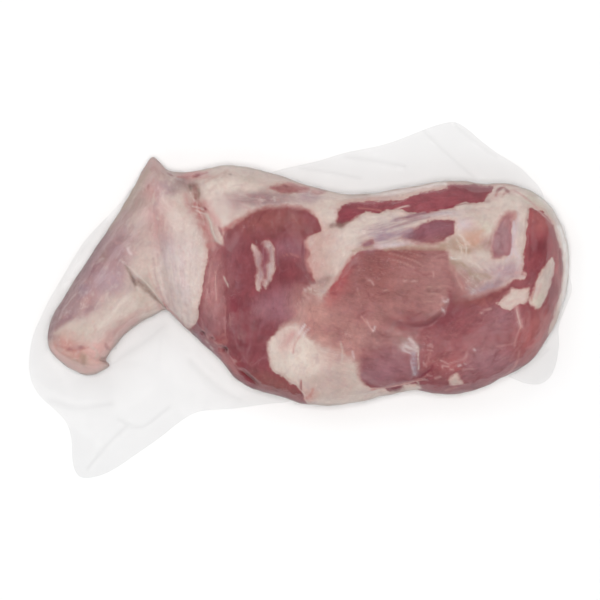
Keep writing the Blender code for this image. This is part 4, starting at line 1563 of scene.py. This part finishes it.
class Nodes:
    """Short calls for building a material's node tree."""

    def __init__(self, name):
        self.material = bpy.data.materials.new(name)
        self.material.use_nodes = True
        self.tree = self.material.node_tree
        self.tree.nodes.clear()

    def plug(self, socket, value):
        """Links the output of a node to the socket, or sets the socket's own value."""
        if isinstance(value, bpy.types.NodeSocket):
            self.tree.links.new(value, socket)
        else:
            socket.default_value = value

    def add(self, kind, inputs=None, **settings):
        node = self.tree.nodes.new(kind)
        for key, value in settings.items():
            setattr(node, key, value)
        for key, value in (inputs or {}).items():
            self.plug(node.inputs[key], value)
        return node

    def where(self):
        """Place on the piece, in metres."""
        return self.add("ShaderNodeTexCoord").outputs["Object"]

    def field(self, name, output="Fac"):
        """What is kept at the piece's points under a name."""
        return self.add("ShaderNodeAttribute", attribute_name=name).outputs[output]

    def math(self, operation, *values, clamp=False):
        node = self.add("ShaderNodeMath", operation=operation, use_clamp=clamp)
        for socket, value in zip(node.inputs, values):
            self.plug(socket, value)
        return node.outputs[0]

    def times(self, result, *factors, clamp=False):
        for factor in factors:
            result = self.math("MULTIPLY", result, factor, clamp=clamp)
        return result

    def plus(self, result, *terms):
        for term in terms:
            result = self.math("ADD", result, term)
        return result

    def noise(self, vector, size, detail=2.0, roughness=0.5, distortion=0.0):
        """Noise with lumps of the given size, in metres."""
        inputs = {"Scale": 1 / size, "Detail": detail, "Roughness": roughness}
        inputs["Distortion"] = distortion
        if vector is not None:
            inputs["Vector"] = vector
        return self.add("ShaderNodeTexNoise", inputs).outputs["Fac"]

    def span(self, value, low, high, to_low=0.0, to_high=1.0, smooth=False):
        """The value taken from one range to another, and held at its ends."""
        ranges = {"From Min": low, "From Max": high, "To Min": to_low, "To Max": to_high}
        node = self.add(
            "ShaderNodeMapRange",
            {"Value": value, **ranges},
            interpolation_type="SMOOTHSTEP" if smooth else "LINEAR",
        )
        return node.outputs["Result"]

    def blend(self, share, a, b, kind="MIX"):
        """Colour a with a share of colour b."""
        node = self.add("ShaderNodeMix", data_type="RGBA", blend_type=kind)
        for index, value in ((0, share), (6, a), (7, b)):
            self.plug(node.inputs[index], value)
        return node.outputs[2]

    def grey(self, value):
        return self.add("ShaderNodeCombineColor", {0: value, 1: value, 2: value}).outputs[0]

    def shaded(self, tint, factor):
        """A colour times a number."""
        return self.blend(1.0, tint, self.grey(factor), "MULTIPLY")

    def patched(self, tint, noise, low, high, share, tissue):
        """The tint with a share of a tissue's colour where the noise is past low."""
        return self.blend(self.times(self.span(noise, low, high), share), tint, colour(tissue))

    def lines(self, noise, half_width):
        """Thin lines along the middle values of a noise."""
        off = self.math("ABSOLUTE", self.math("SUBTRACT", noise, 0.5))
        return self.span(off, 0.0, half_width, 1.0, 0.0, smooth=True)

    def scaled(self, vector, factors):
        node = self.add("ShaderNodeVectorMath", {0: vector, 1: factors}, operation="MULTIPLY")
        return node.outputs[0]

    def bump(self, height, strength, distance, under=None):
        """A bumped normal, over another bump where one is given."""
        inputs = {"Height": height, "Strength": strength, "Distance": distance}
        if under is not None:
            inputs["Normal"] = under
        return self.add("ShaderNodeBump", inputs).outputs[0]

    def finish(self, shader):
        self.add("ShaderNodeOutputMaterial", {"Surface": shader.outputs[0]})
        return self.material


def colour(tissue):
    return (*tissue_colour(tissue), 1.0)


def meat_material():
    n = Nodes("raw_lamb")
    where = n.where()
    grain = n.field("grain", "Vector")
    border = n.field("border")

    # Ragged border of fat and lean
    coarse = n.span(n.noise(where, 0.0040, 3.0, 0.6), 0.0, 1.0, -1.0, 1.0)
    fine = n.span(n.noise(n.scaled(grain, (0.40, 1.0, 1.0)), 0.0014, 2.0), 0.0, 1.0, -1.0, 1.0)
    fine = n.math("DIVIDE", n.times(fine, 0.8), border)
    depth = n.plus(n.times(coarse, 2.6), fine, n.field("fat"))
    edge = n.math("DIVIDE", depth, n.times(border, 2.0))
    fatness = n.span(edge, -0.5, 0.5, smooth=True)

    # Lean: soft blotches and mottle, faint fibres, pale marbling
    fibres = n.noise(n.scaled(grain, (0.16, 1.0, 0.6)), 0.0014, 3.0, 0.65)
    bundles = n.noise(n.scaled(grain, (0.35, 1.0, 0.6)), 0.0050, 3.0, 0.55, 0.8)
    blotches = n.noise(where, 0.0090, 4.0, 0.6)
    mottle = n.noise(where, 0.0030, 4.0, 0.65)
    shade = n.span(fibres, 0.3, 0.7, 0.95, 1.05)
    for noise, reach in ((bundles, 0.07), (blotches, 0.15), (mottle, 0.07)):
        shade = n.plus(shade, n.span(noise, 0.3, 0.7, -reach, reach))
    lean = n.shaded(n.field("lean_tint", "Color"), shade)
    deep = n.noise(n.scaled(grain, (0.6, 1.0, 1.0)), 0.0080, 4.0, 0.6, 0.8)
    lean = n.patched(lean, deep, 0.54, 0.72, 0.40, "deep_lean")
    dusk = n.noise(where, 0.0065, 4.0, 0.6, 0.6)
    lean = n.patched(lean, dusk, 0.54, 0.74, 0.30, "mauve")
    marbled = n.field("marbled")
    flecks = n.noise(n.scaled(grain, (0.45, 1.0, 0.8)), 0.0021, 3.0, 0.6, 1.0)
    fleck_share = n.plus(n.times(marbled, 0.45), 0.06)
    lean = n.patched(lean, flecks, 0.56, 0.70, fleck_share, "blush")
    strings = n.lines(n.noise(n.scaled(grain, (0.6, 1.0, 1.0)), 0.0060, 3.0, 0.6, 1.2), 0.016)
    string_share = n.plus(n.times(marbled, 0.30), 0.04)
    lean = n.blend(n.times(strings, string_share), lean, colour("blush"))
    seam = n.span(depth, -3.5, 0.0, 0.0, 0.22)
    lean = n.blend(seam, lean, colour("bright_lean"))

    # Fat: warm and cool patches, fine lobules, silverskin streaks and small veins
    patches = n.noise(where, 0.0100, 4.0, 0.6)
    lobules = n.noise(where, 0.0024, 3.0, 0.65)
    tone = n.plus(n.span(patches, 0.3, 0.7, 0.94, 1.08), n.span(lobules, 0.3, 0.7, -0.05, 0.05))
    fat = n.shaded(n.field("fat_tint", "Color"), tone)
    warm = n.noise(where, 0.0060, 4.0, 0.65, 0.6)
    fat = n.patched(fat, warm, 0.50, 0.72, 0.42, "pink_fat")
    cool = n.noise(n.scaled(grain, (0.5, 1.0, 1.0)), 0.0075, 3.0, 0.6, 0.4)
    fat = n.patched(fat, cool, 0.53, 0.72, 0.35, "lavender")
    pale = n.noise(n.scaled(grain, (0.6, 1.0, 1.0)), 0.0050, 3.0, 0.6, 0.4)
    fat = n.patched(fat, pale, 0.54, 0.72, 0.40, "cream_light")
    streaks = n.noise(n.scaled(grain, (0.14, 1.0, 0.8)), 0.0030, 3.0, 0.6, 0.5)
    streaked = n.field("streaked")
    fat = n.patched(fat, streaks, 0.52, 0.68, n.times(streaked, 0.60), "cream_light")
    fat = n.patched(fat, streaks, 0.46, 0.32, n.times(streaked, 0.55), "mauve_dark")
    veins = n.lines(n.noise(where, 0.0130, 4.0, 0.6, 1.0), 0.010)
    vein_patches = n.span(n.noise(where, 0.022, 2.0), 0.45, 0.65)
    fat = n.blend(n.times(veins, vein_patches, 0.35), fat, colour("vein_pink"))
    halo = n.span(depth, 0.0, 4.0, 0.45, 0.0)
    fat = n.blend(halo, fat, colour("salmon_fat"))

    # Painted strokes, painted shade at the rim, blood, and holes darkened with painted shade
    skin = n.blend(fatness, lean, fat)
    broken = n.noise(n.scaled(grain, (0.35, 1.0, 1.0)), 0.0022, 3.0, 0.6)
    broken = n.span(broken, 0.34, 0.60, 0.60, 1.10)
    paint_share = n.times(n.field("paint_cover"), broken, clamp=True)
    skin = n.blend(paint_share, skin, n.field("paint", "Color"))
    # Painted shade: the rim darkened and greyed where the sides turn away from the light
    rim_shade_share = n.times(n.math("POWER", n.field("rim"), 1.5), 0.62)
    skin = n.blend(rim_shade_share, skin, n.shaded(skin, 0.50))
    skin = n.blend(n.times(rim_shade_share, 0.15), skin, colour("rim_shade_grey"))
    skin = n.blend(n.times(n.field("blood"), 0.8), skin, colour("wine_lean"))
    # Painted shade in the holes and creases, over the meat's dark red
    skin = n.blend(n.times(n.field("dark"), 0.92), skin, HOLE_SHADE_COLOUR)

    # Relief too fine for the mesh
    grain_bump = n.bump(mottle, 0.20, 0.0005)
    shader = n.add(
        "ShaderNodeBsdfPrincipled",
        {
            "Base Color": skin,
            "Roughness": n.span(fatness, 0.0, 1.0, 0.34, 0.46),
            "Specular IOR Level": 0.10,
            "Normal": n.bump(lobules, 0.35, 0.0006, grain_bump),
            "Subsurface Weight": 0.18,
            "Subsurface Radius": (1.0, 0.35, 0.25),
            "Subsurface Scale": 0.0025,
        },
    )
    return n.finish(shader)


def thread_material():
    n = Nodes("sinew")
    tone = n.span(n.noise(n.where(), 0.0018, 3.0), 0.3, 0.7, 0.92, 1.06)
    shader = n.add(
        "ShaderNodeBsdfPrincipled",
        {
            "Base Color": n.shaded(n.field("tint", "Color"), tone),
            "Roughness": 0.38,
            "Normal": n.bump(tone, 0.3, 0.0003),
            "Subsurface Weight": 0.15,
            "Subsurface Radius": (1.0, 0.4, 0.3),
            "Subsurface Scale": 0.002,
        },
    )
    return n.finish(shader)


def film_material():
    """Clear film that reflects at a slant, and is a little milky in the flaps and creases."""
    n = Nodes("clear_film")
    where = n.where()
    bump = n.bump(n.noise(where, 0.0060, 3.0, 0.55, 0.5), 0.25, 0.0008)
    clear = n.add("ShaderNodeBsdfTransparent", {"Color": (0.985, 0.985, 0.985, 1.0)})
    gloss = {"Color": (1.0, 1.0, 1.0, 1.0), "Roughness": 0.16, "Normal": bump}
    gloss = n.add("ShaderNodeBsdfGlossy", gloss)
    fresnel = n.add("ShaderNodeFresnel", {"IOR": 1.42, "Normal": bump}).outputs[0]
    fresnel = n.math("MINIMUM", fresnel, FILM_MOST_GLOSS)
    wet = n.add("ShaderNodeMixShader", {0: fresnel, 1: clear.outputs[0], 2: gloss.outputs[0]})
    milky = n.add("ShaderNodeBsdfDiffuse", {"Color": (0.42, 0.42, 0.425, 1.0)})
    cloud = n.span(n.noise(where, 0.020, 3.0), 0.3, 0.7, 0.92, 1.08)
    flap = n.field("flap")
    rim = n.span(n.field("edge"), 0.0, 0.0010, 0.03, 0.0)
    share = n.plus(n.times(flap, 0.075), n.times(rim, flap), n.times(n.field("crease"), 0.05))
    share = n.times(n.plus(share, 0.01), cloud, clamp=True)
    both = n.add("ShaderNodeMixShader", {0: share, 1: wet.outputs[0], 2: milky.outputs[0]})
    return n.finish(both)


def floor_material():
    n = Nodes("pale_floor")
    tone = n.span(n.noise(None, 0.4, 2.0), 0.3, 0.7, 0.955, 0.965)
    look = {"Base Color": n.grey(tone), "Roughness": 0.9, "Specular IOR Level": 0.1}
    return n.finish(n.add("ShaderNodeBsdfPrincipled", look))


# Stage

def make_floor():
    half = FLOOR_SIZE / 2
    mesh = bpy.data.meshes.new("floor")
    corners = [(-half, -half, 0), (half, -half, 0), (half, half, 0), (-half, half, 0)]
    mesh.from_pydata(corners, [], [(0, 1, 2, 3)])
    floor = link("floor", mesh)
    floor.location.z = -FLOOR_DROP
    floor.data.materials.append(floor_material())


def make_light(name, spot, size, power, in_gloss):
    data = bpy.data.lights.new(name, "AREA")
    data.shape = "SQUARE"
    data.size = size
    data.energy = power
    lamp = link(name, data)
    lamp.location = spot
    lamp.rotation_euler = (-Vector(spot)).to_track_quat("-Z", "Y").to_euler()
    lamp.visible_glossy = in_gloss


def make_stage():
    """The floor, the light and the camera straight above."""
    make_floor()
    scene = bpy.context.scene
    scene.view_settings.view_transform = "Standard"
    scene.view_settings.look = "None"
    world = bpy.data.worlds.new("studio")
    world.use_nodes = True
    background = world.node_tree.nodes["Background"]
    background.inputs["Color"].default_value = (1.0, 1.0, 1.0, 1.0)
    background.inputs["Strength"].default_value = WORLD_LIGHT
    scene.world = world
    for name, row in LIGHTS.items():
        make_light(name, *row)

    camera_data = bpy.data.cameras.new("camera")
    camera_data.sensor_width = SENSOR
    camera_data.sensor_fit = "HORIZONTAL"
    camera_data.lens = SENSOR * (CAMERA_HEIGHT - CAMERA_TRUE_HEIGHT) / (PICTURE_PX * PX)
    camera = link("camera", camera_data)
    camera.location = (0, 0, CAMERA_HEIGHT)
    scene.camera = camera


def main():
    meat = make_meat()
    meat.data.materials.append(meat_material())
    threads = make_threads(meat)
    threads.data.materials.append(thread_material())
    bag = make_bag()
    bag.data.materials.append(film_material())
    for piece in (meat, threads, bag):
        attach(piece, "root")
        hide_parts("sealed_pack")
    make_stage()


main()
